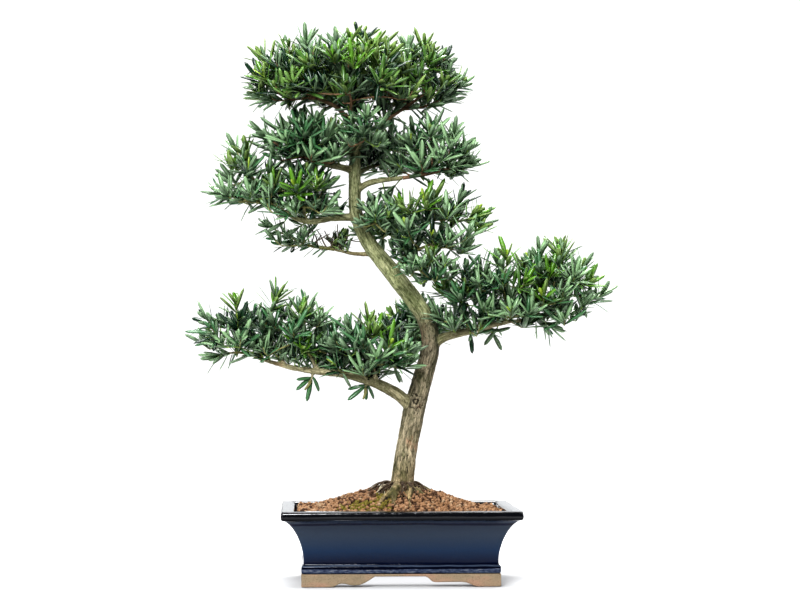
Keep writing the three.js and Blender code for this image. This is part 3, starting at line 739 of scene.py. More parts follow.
def knot_of(place):
    """A healed knot: how far its ring stands out, in millimetres, and how much painted shade falls
    in its grooves.
    """
    raised, shade = 0.0, 0.0
    place = Vector(place)
    for centre, radius, size in KNOTS:
        away = (place - Vector(centre)).length * (1 + 0.5 * noise.noise(place * 0.3))
        if away < 2.6 * radius:
            ring = bell(away, radius, 0.34 * radius)
            dent = bell(away, 0, 0.5 * radius)
            raised += size * (1.5 * ring - 1.1 * dent)
            # Painted shade in the grooves inside and outside the raised ring, and a little in its
            # dent
            inside = bell(away, 0.55 * radius, 0.25 * radius)
            outside = bell(away, 1.6 * radius, 0.3 * radius)
            shade += size * (0.75 * inside + 0.62 * outside + 0.2 * dent)
    return raised, shade


def trunk_and_boughs():
    """Trunk, roots and boughs in one skin, with the relief of the bark."""
    roots = [root_limb(*root) for root in ROOTS] + rootlet_limbs()
    limbs = [*LIMBS.values(), *roots]
    names = [*LIMBS, *["root"] * len(roots)]
    thick, thin = tube_template(24, 90), tube_template(12, 40)
    bent = np.array([along(thin, limb) for limb in limbs[1:]])
    batches = [(thick, along(thick, TRUNK)[None], [[0]]), (thin, bent, [[0]] * len(bent))]
    bm = fused(joined("tubes", batches))
    places = np.array([v.co for v in bm.verts])
    found, grain, room = nearest_limbs(places, limbs)
    young, brown, groove, tone = [], [], [], []
    bm.normal_update()
    for vert, number, inner, clear in zip(bm.verts, found, grain, room):
        name, height = names[number], vert.co.z
        is_trunk, is_root = name == "trunk", name == "root"
        above = clamped((height - GREEN_FROM) / GREEN_OVER)
        fullest = ROUGH_ROOT if is_root else ROUGH_BOUGH
        rough = 1 - 0.55 * above if is_trunk else min(1, limbs[number].radii.mean() / fullest)
        merging = clamped(clear / MERGING_ROOM)
        raised, opened = relief_of(vert.co, inner, rough * merging)
        knot, shade = knot_of(vert.co)
        vert.co += vert.normal * (raised * 0.9 + knot)
        tier = name.split("_")[1] if "_" in name else name
        young.append(above if is_trunk else 0 if is_root else max(0.55, above))
        own_brown = 0 if is_trunk or is_root else BROWNNESS.get(tier, USUAL_BROWNNESS)
        brown.append(max(own_brown, 0.8 * clamped((height - BROWN_FROM) / BROWN_OVER)))
        # Painted shade on the bark where it meets the soil
        soil_line_shade = clamped(1 - (height - soil_height(vert.co.x, vert.co.y)) / SOIL_SHADE_HEIGHT)
        cracked = opened * min(1, rough * merging * 1.3)
        groove.append(1 - min(1, cracked + 0.8 * shade + 0.5 * soil_line_shade))
        # Painted shade and light along the trunk, by height
        wavering = height + 9 * noise.noise(vert.co * 0.07)
        tone.append(np.interp(wavering, PAINTED_LIGHT_HEIGHTS, PAINTED_LIGHT_LEVELS) if is_trunk else 1)
    mesh = mesh_of(bm, "trunk_and_boughs")
    levels = {"young": young, "brown": brown, "groove": groove, "tone": tone}
    for attribute, values in levels.items():
        mesh.attributes.new(attribute, "FLOAT", "POINT").data.foreach_set("value", values)
    vectors = mesh.attributes.new("grain", "FLOAT_VECTOR", "POINT")
    vectors.data.foreach_set("vector", (grain * 0.1).ravel())
    return finished(mesh, "trunk_and_boughs", [bark_finish()], replaced=list(LIMBS))


# Foliage: the space of a mass
SPACE_POWER = 2
TAPER = 0.12
MINGLING = 10
RAGGED = 6
FULL_SPACE = 44
SHARED_EDGE = 34
GAP = 0.3
LIFT = 0.8

# Rosettes: places tried in an even spread through the space, and the room and spacing they keep
SPREAD = [1.2207440846**-power for power in (1, 2, 3)]
CANDIDATES = 1400
END_ROOM = 20
END_SPACING = 20
END_CLEARANCE = 3

# Wood of a mass: radii, and the places on it that shoots may leave from
STEM_RADII = (2.2, 1.2)
MAIN_RADIUS = 1.25
SIDE_RADIUS = 0.8
TIP_RADIUS = 0.6
STEM_FORKS = (0.3, 0.5, 0.7, 0.85, 1)
SHOOT_FORKS = (0.25, 0.45, 0.65)
SHORTEST_SHOOT = 8
STOUT_SHOOT = 30
LEAFY_SHOOT = 26
LONGEST_TURN = 13

# Leaves: they may stand out of the space by a draw between two values, and keep clear of the limbs
STANDING_OUT = (-2, 12)
NO_SPACE = 1000
LEAF_CLEARANCE = 1.2
LEAF_LENGTH = 31
LEAF_WIDTH = 6.2
LEAF_OUTLINE = [(0, 0.22), (0.22, 0.72), (0.55, 1), (0.88, 0.78), (1, 0.16)]
LEAF_BENDS = [(0.03, 0.0), (0.1, 0.05), (0.17, -0.06), (-0.04, 0.03)]
LEAVES_AT_A_TIP = 13
YOUNG_LEAVES = (0.32, 0.5, 0.75)
LEAVES_ALONG_A_SHOOT = 3
LEAVES_ON_A_SPROUT = 8
LEAVES_ON_A_HANGING_SPROUT = 4
HANGING_FAN = (188, 222, 264, 304)
FRESH_ABOVE = 0.7

# Sprouts on the boughs under a mass, and how much of a bough is bare
SPROUT_SPACING = 8
SPROUT_DEPTH = 26
SPROUT_LENGTHS = (10, 22)
HANGING_SHARE = 0.08
BARE_SHARE = 0.22
BARER_BOUGHS = {"bough_second_right": 0.6, "bough_right": 0.4}

# Masses whose form isn't the plain one: power of the rounded box, taper upwards, and how loosely it
# is filled
FORMS = {
    "foliage_crown_left": (1.85, 0, 1),
    "foliage_crown_right": (1.65, 0.05, 1),
    "foliage_second_right": (1.7, -0.05, 1.08),
    "foliage_third_tip": (1.6, 0.1, 1.25),
    "foliage_third_inner": (2, 0.1, 1.25),
    "foliage_fourth_left": (1.6, 0, 2.5),
    "foliage_trunk_tuft": (2, 0, 1.3),
    "foliage_middle_right": (2, -0.2, 1.2),
    "foliage_middle_low": (2, 0, 1.25),
    "foliage_right_outer": (1.6, -0.05, 1.2),
    "foliage_right_middle": (2, 0.1, 1.2),
    "foliage_right_inner": (2, 0.1, 1.2),
    "foliage_low_middle": (1.9, 0.3, 1.18),
    "foliage_low_tip": (1.7, 0.05, 1.18),
    "foliage_low_inner": (2, 0.12, 1.08),
}

# Long leafy shoots of a mass that run on from a limb's tip: the limb, the leaves' spacing, the line
RUNNERS = {
    "foliage_crown_left": [
        ("bough_crown_left", 3, [(-125, -12, 600), (-150, -10, 598), (-172, -8, 604)]),
        ("bough_crown_left", 3, [(-108, -14, 620), (-114, -14, 645), (-116, -14, 668)])],
    "foliage_crown_right": [
        ("bough_crown_right", 3, [(28, 2, 592), (50, 0, 600), (74, -2, 618)]),
        ("bough_crown_right", 3, [(8, 2, 610), (11, -2, 640), (12, -4, 667)])],
    "foliage_second_right": [
        ("bough_second_right", 5, [(42, -8, 508), (78, -8, 520)])],
    "foliage_second_left": [
        ("bough_second_left", 4, [(-128, -14, 532), (-154, -12, 544), (-170, -10, 556)])],
    "foliage_third_tip": [
        ("bough_third_left", 3.2, [(-170, -11, 470), (-190, -9, 473), (-222, -6, 482)]),
        ("bough_third_left", 3, [(-172, -12, 488), (-190, -12, 512), (-202, -12, 534)])],
    "foliage_fourth_left": [
        ("bough_fourth_left", 3, [(-114, 22, 419), (-133, 20, 428), (-166, 18, 444)])],
    "foliage_right_outer": [
        ("bough_right", 3, [(176, -3, 325), (190, -6, 317)]),
        ("bough_right", 3, [(170, -8, 345), (174, -12, 376), (176, -12, 406)]),
        ("bough_right", 3, [(186, -8, 348), (197, -12, 378), (203, -12, 406)])],
    "foliage_low_tip": [
        ("bough_low_left", 9, [(-184, 1, 281), (-204, 2, 284), (-226, 0, 279)])],
    "foliage_low_middle": [
        ("bough_low_left", 3.4, [(-174, -6, 302), (-160, -10, 330), (-152, -10, 354)]),
        ("riser_low_middle", 3.4, [(-118, -14, 298), (-117, -14, 320), (-114, -14, 336)])],
}

# Colour and roughness of the leaves' upper sides, then of their lower sides, numbered as below
LEAF_LOOKS = {
    "leaf_deep": ((18, 44, 26), 0.2), "leaf_green": ((62, 101, 64), 0.2),
    "leaf_mid": ((122, 152, 111), 0.2), "leaf_olive": ((64, 97, 40), 0.2),
    "leaf_bright": ((104, 137, 72), 0.2), "leaf_fresh": ((80, 123, 34), 0.2),
    "leaf_lime": ((132, 156, 52), 0.35), "leaf_under_grey": ((112, 138, 104), 0.5),
    "leaf_under_fresh": ((112, 138, 72), 0.5)}
DEEP, GREEN, MID, OLIVE, BRIGHT, FRESH, LIME, UNDER_GREY, UNDER_FRESH = range(9)

# Lower leaves of a rosette are often of an older green
OLDER = {DEEP: DEEP, GREEN: DEEP, MID: GREEN, OLIVE: DEEP, BRIGHT: OLIVE, FRESH: OLIVE}
OLDER_FROM = 7
OLDER_CHANCE = 0.55

# By tier: shares of its three greens well inside a mass and further out, and share of fresh tips.
# The darker greens well inside are painted shade, and the lighter greens further out, most in the
# lower tiers, are painted light
SHADED = 0.68
CROWN_GREENS = (DEEP, OLIVE, BRIGHT)
OTHER_GREENS = (DEEP, GREEN, MID)
LEAF_SHARES = {
    "crown": ((8, 2, 0), (3, 6, 2)), "second": ((1, 3, 6), (0, 1, 10)),
    "third": ((1, 3, 6), (0, 1, 9)), "middle": ((2, 3, 4), (0, 2, 9)),
    "right": ((2, 4, 3), (0, 2, 9)), "low": ((4, 4, 1), (2, 3, 7))}
FRESH_SHARE = {
    "crown": 0.34, "second": 0.1, "third": 0.26, "middle": 0.34, "right": 0.34, "low": 0.14}


class Space:
    """The space of a mass: a rounded box with a flat underside, parted from its neighbours by
    planes."""

    def __init__(self, centre, half, hang, power=SPACE_POWER, taper=TAPER, looseness=1.0):
        self.centre, self.half = Vector(centre), Vector(half)
        self.power, self.taper, self.looseness = power, taper, looseness
        self.planes = [(-UP, hang * self.half.z + RAGGED)]

    def part_from(self, other):
        between = other.centre - self.centre
        distance = between.length
        normal = between.normalized()
        own, others = ((normal * half).length for half in (self.half, other.half))
        if own + others > distance:
            self.planes.append((normal, distance * own / (own + others) + MINGLING))

    def fullness(self, offset):
        """Under 1 inside the rounded box."""
        half = self.half
        wide = 1 + self.taper * offset.z / half.z
        shares = (wide * offset.x / half.x, wide * offset.y / half.y, offset.z / half.z)
        return sum(abs(share) ** self.power for share in shares) ** (1 / self.power)

    def holds(self, point, slack=0.0):
        offset = point - self.centre
        inside = self.fullness(offset) < 1 + slack / min(self.half)
        return inside and all(normal.dot(offset) < far + slack for normal, far in self.planes)

    def is_own(self, offset):
        """On this side of the planes that part it from its neighbours."""
        return all(normal.dot(offset) < far for normal, far in self.planes[1:])

    def ends(self):
        """Places where a rosette fits and the way it points, each as far as can be from those
        before it."""
        room = END_ROOM * min(1, min(self.half) / FULL_SPACE)
        fitting = []
        for number in range(1, CANDIDATES + 1):
            shares = Vector([2 * (number * step % 1) - 1 for step in SPREAD])
            offset = shares * self.half
            point = self.centre + offset
            lean = Vector((shares.x, shares.y, 0))
            for normal, far in self.planes[1:]:
                shared = max(0, 1 - max(0, far - normal.dot(offset)) / SHARED_EDGE)
                lean -= Vector((normal.x, normal.y, 0)) * max(0, lean.dot(normal)) * shared
            axis = (lean + UP * (0.3 * shares.z + LIFT)).normalized()
            around = [point + axis * room, point + lean * room / 2, point - UP * (RAGGED + 4)]
            if all(self.holds(spot) for spot in around):
                fitting.append((point, axis))
        places = np.array([point for point, _ in fitting])
        heights = places[:, 2] - places[:, 2].min()
        kept = [int(np.argmax(heights))]
        away = np.linalg.norm(places - places[kept[0]], axis=1)
        while away.max() > self.looseness * END_SPACING * min(1, min(self.half) / FULL_SPACE):
            kept.append(int(np.argmax(away)))
            away = np.minimum(away, np.linalg.norm(places - places[kept[-1]], axis=1))
        return [fitting[number] for number in kept]


def leaf_template(bend, sweep):
    """A strap-shaped blade one unit long and wide, raised along its midrib, with a flat lower
    side of its own material."""
    bm = bmesh.new()
    rows = len(LEAF_OUTLINE) - 1
    for halves, raised in ((2, 0.02), (1, 0)):
        for vert in bmesh.ops.create_grid(bm, x_segments=rows, y_segments=halves, size=1)["verts"]:
            away, width = LEAF_OUTLINE[round((vert.co.x + 1) / 2 * rows)]
            side = round(vert.co.y)
            rise = raised * width * (1 - abs(side))
            vert.co = (away, side * width / 2 + sweep * away**2 * 4, rise - bend * away**2)
    for face in bm.faces:
        face.material_index = 0 if any(len(v.link_faces) == 4 for v in face.verts) else 1
    bmesh.ops.remove_doubles(bm, verts=bm.verts, dist=1e-5)
    bmesh.ops.holes_fill(bm, edges=[e for e in bm.edges if e.is_boundary], sides=4)
    bmesh.ops.recalc_face_normals(bm, faces=bm.faces)
    bm.verts.index_update()
    return Template(bm)


def leaning(axis, angle, spread):
    """The way a leaf points, and the way its upper side faces, at an angle round a twig's axis."""
    across = axis.cross(UP if abs(axis.z) < 0.9 else Vector((1, 0, 0))).normalized()
    outward = across * math.cos(angle) + axis.cross(across) * math.sin(angle)
    ray = (axis * math.cos(spread) + outward * math.sin(spread)).normalized()
    return ray, (axis - ray * axis.dot(ray)).normalized()


def rosette(twig, axis, chance, count, first=1.0, spacing=1.9):
    """Places of leaves round a twig: the steepest at its end and the flattest lowest down."""
    turn = chance.uniform(0, 2 * math.pi)
    for k in range(count):
        angle = k * GOLDEN_ANGLE + turn + chance.uniform(-0.3, 0.3)
        spread = math.radians(14 + 52 * k / max(count - 1, 1) + chance.uniform(-7, 9))
        ray, face = leaning(axis, angle, spread)
        root = Vector(twig.at(max(0.25, 1 - (first + k * spacing) / twig.length)))
        yield k, root, ray, face


class Mass:
    """A stem, shoots that branch from it and from each other, and rosettes of leaves at their
    ends."""

    def __init__(self, space, limb, shoots, tier, near_limb, seed):
        self.space, self.tier, self.near_limb = space, tier, near_limb
        foot, direction = limb.side_towards(space.centre) if limb is TRUNK else limb.tip()
        self.chance = random.Random(seed)
        self.size = LEAF_LENGTH * min(1, min(space.half) / FULL_SPACE)
        self.twigs, self.leaves = [], []
        heart = space.centre - UP * (0.5 * space.half.z)
        start = foot + direction * GAP
        lead = start + direction * (0.35 * (start - heart).length)
        self.stem = Limb(tapering([start, lead, heart], *STEM_RADII))
        self.wood = [Vector(self.stem.at(share)) for share in STEM_FORKS]
        if foot.z >= space.centre.z:
            self.add_hanging_leaves(limb)
            return
        for number, (end, axis) in enumerate(space.ends()):
            if near_limb(end) > END_CLEARANCE:
                self.add_shoot(end, axis, number < shoots, LEAVES_AT_A_TIP)

    def add_shoot(self, end, axis, is_main, leaf_count):
        """A shoot leaves the nearest wood and turns the way its rosette points."""
        chance = self.chance

        def cost(point):
            return (point - end).length + 0.6 * max(0, point.z - end.z + 6)

        start = min((p for p in self.wood if (p - end).length > SHORTEST_SHOOT), key=cost)
        length = (end - start).length
        turning = end - axis * min(LONGEST_TURN, 0.4 * length)
        jolt = Vector([chance.uniform(-0.07, 0.07) * length for _ in range(3)])
        middle = start.lerp(turning, 0.5) + jolt
        radius = MAIN_RADIUS if is_main else SIDE_RADIUS
        shoot = Limb(tapering([start, middle, turning, end], radius, TIP_RADIUS), 5)
        self.twigs.append((shoot, 1 if length > STOUT_SHOOT or is_main else 2))
        self.wood += [Vector(shoot.at(share)) for share in SHOOT_FORKS]
        self.add_rosette(shoot, axis, end, leaf_count)
        if length > LEAFY_SHOOT:
            self.add_older_leaves(shoot)

    def add_rosette(self, shoot, axis, end, leaf_count):
        chance = self.chance
        height = (end.z - self.space.centre.z) / self.space.half.z
        fullness = self.space.fullness(end - self.space.centre)
        # Rosettes well inside the mass take the darker shares: painted shade
        shares = LEAF_SHARES[self.tier][fullness > SHADED]
        fresh = chance.random() < FRESH_SHARE[self.tier] * max(0.1, height + 0.5) * 1.6
        greens = CROWN_GREENS if self.tier == "crown" else OTHER_GREENS
        top = FRESH if fresh else chance.choices(greens, shares)[0]
        budding = chance.random() < (0.6 if fresh else 0.15)
        tilted = (axis + scatter(chance, 0.3)).normalized()
        count = leaf_count + chance.randint(-2, 2)
        for k, root, ray, face in rosette(shoot, tilted, chance, count):
            grown = YOUNG_LEAVES[k] if k < len(YOUNG_LEAVES) else 1
            length = self.size * grown * chance.uniform(0.75, 1.2)
            color = OLDER[top] if k >= OLDER_FROM and chance.random() < OLDER_CHANCE else top
            color = LIME if k < 2 and budding else FRESH if k < 3 and fresh else color
            self.add_leaf(root, ray, face, length, color)

    def add_older_leaves(self, shoot):
        chance = self.chance
        for _ in range(LEAVES_ALONG_A_SHOOT):
            share = chance.uniform(0.35, 0.8)
            root = Vector(shoot.at(share))
            axis = (Vector(shoot.at(share + 0.1)) - root).normalized()
            ray = Vector([chance.gauss(0, 1) for _ in range(3)]).normalized()
            ray = ray + axis * 0.7 + UP * 0.2
            ray.normalize()
            face = (UP - ray * ray.z).normalized()
            # Leaves along the shoots take the near-black deep green: partly older leaves, partly
            # painted shade inside the mass
            self.add_leaf(root, ray, face, self.size * chance.uniform(0.75, 1), DEEP)

    def add_hanging_leaves(self, spur):
        """A few long leaves that fan out under a spur."""
        chance = self.chance
        for turn in HANGING_FAN:
            angle = math.radians(turn + chance.uniform(-6, 6))
            across = chance.uniform(-0.6, 0.5)
            ray = Vector((math.cos(angle), across, math.sin(angle))).normalized()
            face = Vector((chance.uniform(-0.3, 0.3), -1, 0.6)).normalized()
            face = (face - ray * ray.dot(face)).normalized()
            root = Vector(spur.at(chance.uniform(0.3, 1)))
            length = LEAF_LENGTH * chance.uniform(0.7, 1.05)
            self.add_leaf(root, ray, face, length, GREEN, NO_SPACE)

    def add_runner(self, bough, spacing, line):
        """A long thin shoot that runs on from a bough's tip, with leaves all along it."""
        chance = self.chance
        runner = Limb(tapering([bough.points[-1], *line], bough.radii[-1], 0.7))
        self.twigs.append((runner, 1))
        for number, away in enumerate(np.arange(6, runner.length, spacing)):
            root, ahead = (Vector(runner.at(s / runner.length)) for s in (away, away + 4))
            axis = (ahead - root).normalized() if away + 4 < runner.length else axis
            spread = math.radians(chance.uniform(38, 62))
            ray, face = leaning(axis, number * GOLDEN_ANGLE, spread)
            length = self.size * chance.uniform(0.75, 1.05)
            self.add_leaf(root, ray, face, length, GREEN, NO_SPACE)
        fresh_from = self.space.centre.z + FRESH_ABOVE * self.space.half.z
        color = FRESH if line[-1][2] > fresh_from else MID
        for _, root, ray, face in rosette(runner, axis, chance, LEAVES_AT_A_TIP):
            self.add_leaf(root, ray, face, self.size * chance.uniform(0.7, 1), color, NO_SPACE)

    def add_sprouts(self, boughs):
        """Short shoots that stand on the boughs under the mass, and now and then one that hangs."""
        chance, centre, half = self.chance, self.space.centre, self.space.half
        for name, limb in boughs.items():
            bare = BARER_BOUGHS.get(name, BARE_SHARE) * limb.length
            for away in np.arange(bare, limb.length, SPROUT_SPACING):
                root = Vector(limb.at(away / limb.length))
                offset = root - centre
                below = -offset.z - half.z * 0.85
                if not (self.space.is_own(offset) and -half.z < below < SPROUT_DEPTH):
                    continue
                if max(abs(offset.x) / half.x, abs(offset.y) / half.y) > 0.9:
                    continue
                hangs = chance.random() < HANGING_SHARE
                lean = (chance.uniform(-0.9, 0.9), chance.uniform(-0.9, 0.9), -0.5 if hangs else 1)
                axis = Vector(lean).normalized()
                length = chance.uniform(*SPROUT_LENGTHS)
                line = [root, root + axis * length * 0.5, root + axis * length]
                shoot = Limb(tapering(line, 0.9, TIP_RADIUS), 4)
                self.twigs.append((shoot, 2))
                color = chance.choice((DEEP, GREEN))
                count = LEAVES_ON_A_HANGING_SPROUT if hangs else LEAVES_ON_A_SPROUT
                for _, spot, ray, face in rosette(shoot, axis, chance, count):
                    length = self.size * chance.uniform(0.6, 0.9)
                    self.add_leaf(spot, ray, face, length, color, NO_SPACE)

    def add_leaf(self, root, ray, face, length, color, slack=None):
        """A leaf, or a shorter one. Skipped where both would leave the space or touch a limb."""
        slack = self.chance.uniform(*STANDING_OUT) if slack is None else slack
        for tried in (length, 0.8 * length):
            points = [root + ray * tried * share for share in (0.3, 0.6, 1)]
            if all(self.space.holds(p, slack) and self.near_limb(p) > LEAF_CLEARANCE
                   for p in points):
                under = UNDER_FRESH if color in (OLIVE, BRIGHT, FRESH, LIME) else UNDER_GREY
                bend = self.chance.randrange(len(LEAF_BENDS))
                self.leaves.append((root, ray, face, tried, bend, color, under))
                return


def leaf_batches(leaves):
    """The leaves as copies of the few bent blades."""
    batches = []
    for number, shape in enumerate(LEAF_BENDS):
        own = [leaf for leaf in leaves if leaf[4] == number]
        template = leaf_template(*shape)
        roots, rays, faces = (np.array([leaf[i] for leaf in own])[:, None] for i in range(3))
        lengths = np.array([leaf[3] for leaf in own])[:, None, None]
        widths = LEAF_WIDTH * (0.7 + 0.3 * lengths / LEAF_LENGTH)
        sides = np.cross(faces, rays)
        x, y, z = (template.places[None, :, i, None] for i in range(3))
        copies = roots + rays * x * lengths
        copies = copies + sides * y * widths + faces * z * lengths
        batches.append((template, copies, [(leaf[5], leaf[6]) for leaf in own]))
    return batches


def foliage():
    """Every mass grows in its own space. A tier's leaves are one piece, and its twigs another."""
    table = {name: row for tier in TIERS.values() for name, row in tier.items()}
    spaces = {name: Space(*row[1:4], *FORMS.get(name, ())) for name, row in table.items()}
    for name, space in spaces.items():
        for other in (s for n, s in spaces.items() if n != name):
            space.part_from(other)
    samples = [(p, r) for limb in LIMBS.values() for p, r in zip(limb.points, limb.radii)]
    tree = kdtree.KDTree(len(samples))
    for number, (point, _) in enumerate(samples):
        tree.insert(point, number)
    tree.balance()

    def near_limb(point):
        _, number, away = tree.find(point)
        return away - samples[number][1]

    greens = [leaf_finish(name, *looks) for name, looks in LEAF_LOOKS.items()]
    barks = [twig_finish(name) for name in ("twig_brown", "twig_olive", "twig_green")]
    stem_tube, shoot_tube, twig_tube = (tube_template(*form) for form in ((8, 10), (6, 7), (5, 4)))
    for tier, masses in TIERS.items():
        grown = []
        for name, (feeder, *_, shoots) in masses.items():
            seed = SEED + list(table).index(name)
            grown.append(Mass(spaces[name], LIMBS[feeder], shoots, tier, near_limb, seed))
            if "drop" not in name:
                grown[-1].add_sprouts({bough: LIMBS[bough] for bough in BOUGHS})
            for bough, spacing, line in RUNNERS.get(name, ()):
                grown[-1].add_runner(LIMBS[bough], spacing, line)
        leaves = leaf_batches([leaf for mass in grown for leaf in mass.leaves])
        finished(joined(f"leaves_{tier}", leaves), f"leaves_{tier}", greens, masses)
        woody = 0 if tier in ("crown", "second") else 1
        parts = [(stem_tube, [mass.stem for mass in grown], woody)]
        for kind, tube, number in ((1, shoot_tube, woody), (2, twig_tube, 2)):
            own = [twig for mass in grown for twig, of_kind in mass.twigs if of_kind == kind]
            parts.append((tube, own, number))
        batches = [(tube, np.array([along(tube, limb) for limb in limbs]), [[number]] * len(limbs))
                   for tube, limbs, number in parts if limbs]
        finished(joined(f"twigs_{tier}", batches), f"twigs_{tier}", barks)


# Pot: its section, as (radius along the long axis, height), in parts that meet at an edge
RING_STEPS = 4
EDGE_CUTS = 16
POT_WAVE = 0.45
FOOT_ARRIS = 1.3
POT_PROFILE = [
    [(118.6, 16.1), (120.3, 16.6), (120.9, 18.2), (121, 22), (120.6, 24.6), (119.5, 25.8)],
    [(119.5, 25.8), (118.5, 27.2), (118.3, 32), (119, 40), (121.2, 49.5), (124.8, 59.5),
     (129.8, 69), (135.4, 76.2), (140.8, 80.6), (143.6, 81.6)],
    [(143.6, 81.6), (145.2, 82.5), (145.9, 85), (145.8, 88.6), (145.2, 90.8), (143.4, 91.9)],
    [(143.4, 91.9), (139, 92.3), (134.5, 92.2), (131.4, 91.8)],
    [(131.4, 91.8), (129.8, 90.6), (128.4, 85), (124.6, 75.5), (116, 58), (111, 44), (109.5, 30),
     (105, 26.2)],
]


def to_ring(verts, radius, height):
    """Moves the four corners of a ring to a radius and height of the profile."""
    depth = max(radius - DEPTH_STEP, radius * 0.6)
    for vert in verts:
        vert.co = (math.copysign(radius, vert.co.x), math.copysign(depth, vert.co.y), height)


def pot():
    """Rings of a rectangle drawn up the outside, over the rim and down the inside, with worn
    corners."""
    parts = [[(radius, height, 0) for radius, height in part] for part in POT_PROFILE]
    profile = [row for part in parts for row in smooth_line(part, RING_STEPS)]
    bm = bmesh.new()
    made = bmesh.ops.create_circle(bm, segments=4, radius=1, cap_ends=True)
    for vert in made["verts"]:
        vert.co = Matrix.Rotation(math.pi / 4, 3, "Z") @ vert.co
    to_ring(made["verts"], *profile[0][:2])
    edges = bm.edges[:]
    for radius, height, _ in profile[1:]:
        grown = bmesh.ops.extrude_edge_only(bm, edges=edges)["geom"]
        to_ring([item for item in grown if isinstance(item, bmesh.types.BMVert)], radius, height)
        edges = [item for item in grown if isinstance(item, bmesh.types.BMEdge)]
        edges = [e for e in edges if e.is_boundary
                 and abs(e.verts[0].co.z - e.verts[1].co.z) < 1e-6]
    bmesh.ops.contextual_create(bm, geom=edges)
    corners = [e for e in bm.edges
               if all(a * b > 0 for a, b in zip(e.verts[0].co.xy, e.verts[1].co.xy))]
    worn(bm, corners, POT_CORNER, 3)
    long_edges = [e for e in bm.edges if e.calc_length() > 60]
    bmesh.ops.subdivide_edges(bm, edges=long_edges, cuts=EDGE_CUTS)
    bmesh.ops.recalc_face_normals(bm, faces=bm.faces)
    for vert in bm.verts:
        wave = noise.noise_vector(vert.co * 0.022) * POT_WAVE
        vert.co += Vector((wave.x, wave.y, wave.z if 30 < vert.co.z < 91 else 0))
    return finished(mesh_of(bm, "pot_glazed"), "pot_glazed", [glaze_finish()], ["pot"])


def pot_foot():
    """The solid's own foot ring, with its arrises worn round."""
    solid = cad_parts["pot_foot"].data
    bm = bmesh.new()
    bm.from_mesh(solid)
    to_millimetres = Matrix.Scale(1 / MM, 4) @ Matrix.Translation(-POT_CENTRE)
    bmesh.ops.transform(bm, matrix=to_millimetres, verts=bm.verts)
    bmesh.ops.remove_doubles(bm, verts=bm.verts, dist=0.01)
    bmesh.ops.dissolve_limit(bm, angle_limit=math.radians(2), verts=bm.verts, edges=bm.edges)
    sharp = math.radians(35)
    arrises = [e for e in bm.edges if len(e.link_faces) == 2 and e.calc_face_angle() > sharp]
    worn(bm, arrises, FOOT_ARRIS, 2)
    mesh = mesh_of(bm, "pot_feet")
    piece = finished(mesh, "pot_feet", [clay_finish()], ["pot_foot"])
    piece.modifiers.new("even_shading", "WEIGHTED_NORMAL").keep_sharp = True
    return piece


# Soil
BED_BOTTOM = 70
BED_DEPTH = 2.6
GRANULE_KINDS = 5
GRANULE_SPACING = 4.4
ROW_SPACING = 0.87
GRANULE_SIZES = (1.7, 3.1)
LOOSE_GRANULES = 1500

# Shares of tan, brown, dark and pale granules, by the trunk, where the darker mix is painted shade,
# and elsewhere
SHADED_MIX_BY_TRUNK = (1, 3, 9, 0)
MIX_ELSEWHERE = (5, 5, 3, 1)
MOSSY = 4
MOSS_PATCHES = [((-42, -62), (34, 16)), ((-20, -40), (16, 12)), ((30, 60), (30, 18))]


def soil_bed():
    """The mound under the granules, closed below: soil whose dark colour is partly painted shade in
    the gaps between them.
    """
    bm = bmesh.new()
    bmesh.ops.create_grid(bm, x_segments=48, y_segments=34, size=1)
    rim = [e for e in bm.edges if e.is_boundary]
    walls = bmesh.ops.extrude_edge_only(bm, edges=rim)["geom"]
    low = {v for v in walls if isinstance(v, bmesh.types.BMVert)}
    for vert in bm.verts:
        x, y = vert.co.x * SOIL_HALF_LENGTH, vert.co.y * SOIL_HALF_DEPTH
        if vert in low:
            vert.co = (x * 0.92, y * 0.92, BED_BOTTOM)
        else:
            vert.co = (x, y, soil_height(x, y) - BED_DEPTH)
    bottom = [e for e in bm.edges if e.is_boundary]
    bmesh.ops.contextual_create(bm, geom=bottom)
    bmesh.ops.recalc_face_normals(bm, faces=bm.faces)
    mesh = mesh_of(bm, "soil_bed")
    return finished(mesh, "soil_bed", [soil_finish("soil_and_gap_shade")], ["soil_mound"])


def granule_template(chance):
    bm = bmesh.new()
    bmesh.ops.create_icosphere(bm, subdivisions=1, radius=1)
    for vert in bm.verts:
        vert.co *= chance.uniform(0.78, 1.15)
    bm.verts.index_update()
    return Template(bm)


def in_moss(x, y):
    """How mossy the soil is at a place."""
    return max(1 - math.hypot((x - cx) / rx, (y - cy) / ry) for (cx, cy), (rx, ry) in MOSS_PATCHES)


def granule_spots(chance):
    """Places of the granules, and how far each stands above the soil: rows in a jittered pattern,
    with loose ones on top of them."""
    spots = []
    rows = int(2 * SOIL_HALF_DEPTH / (GRANULE_SPACING * ROW_SPACING))
    columns = int(2 * SOIL_HALF_LENGTH / GRANULE_SPACING)
    for row in range(rows):
        for column in range(columns):
            x = (column + 0.5 * (row % 2) + chance.uniform(-0.3, 0.3)) * GRANULE_SPACING
            y = (row + chance.uniform(-0.3, 0.3)) * GRANULE_SPACING * ROW_SPACING
            place = (x - SOIL_HALF_LENGTH, y - SOIL_HALF_DEPTH)
            spots.append((*place, chance.uniform(-2.6, -1.2)))
    for _ in range(LOOSE_GRANULES):
        x = chance.uniform(-1, 1) * SOIL_HALF_LENGTH
        y = chance.uniform(-1, 1) * SOIL_HALF_DEPTH
        spots.append((x, y, chance.uniform(-1.2, 0.4)))
    return spots


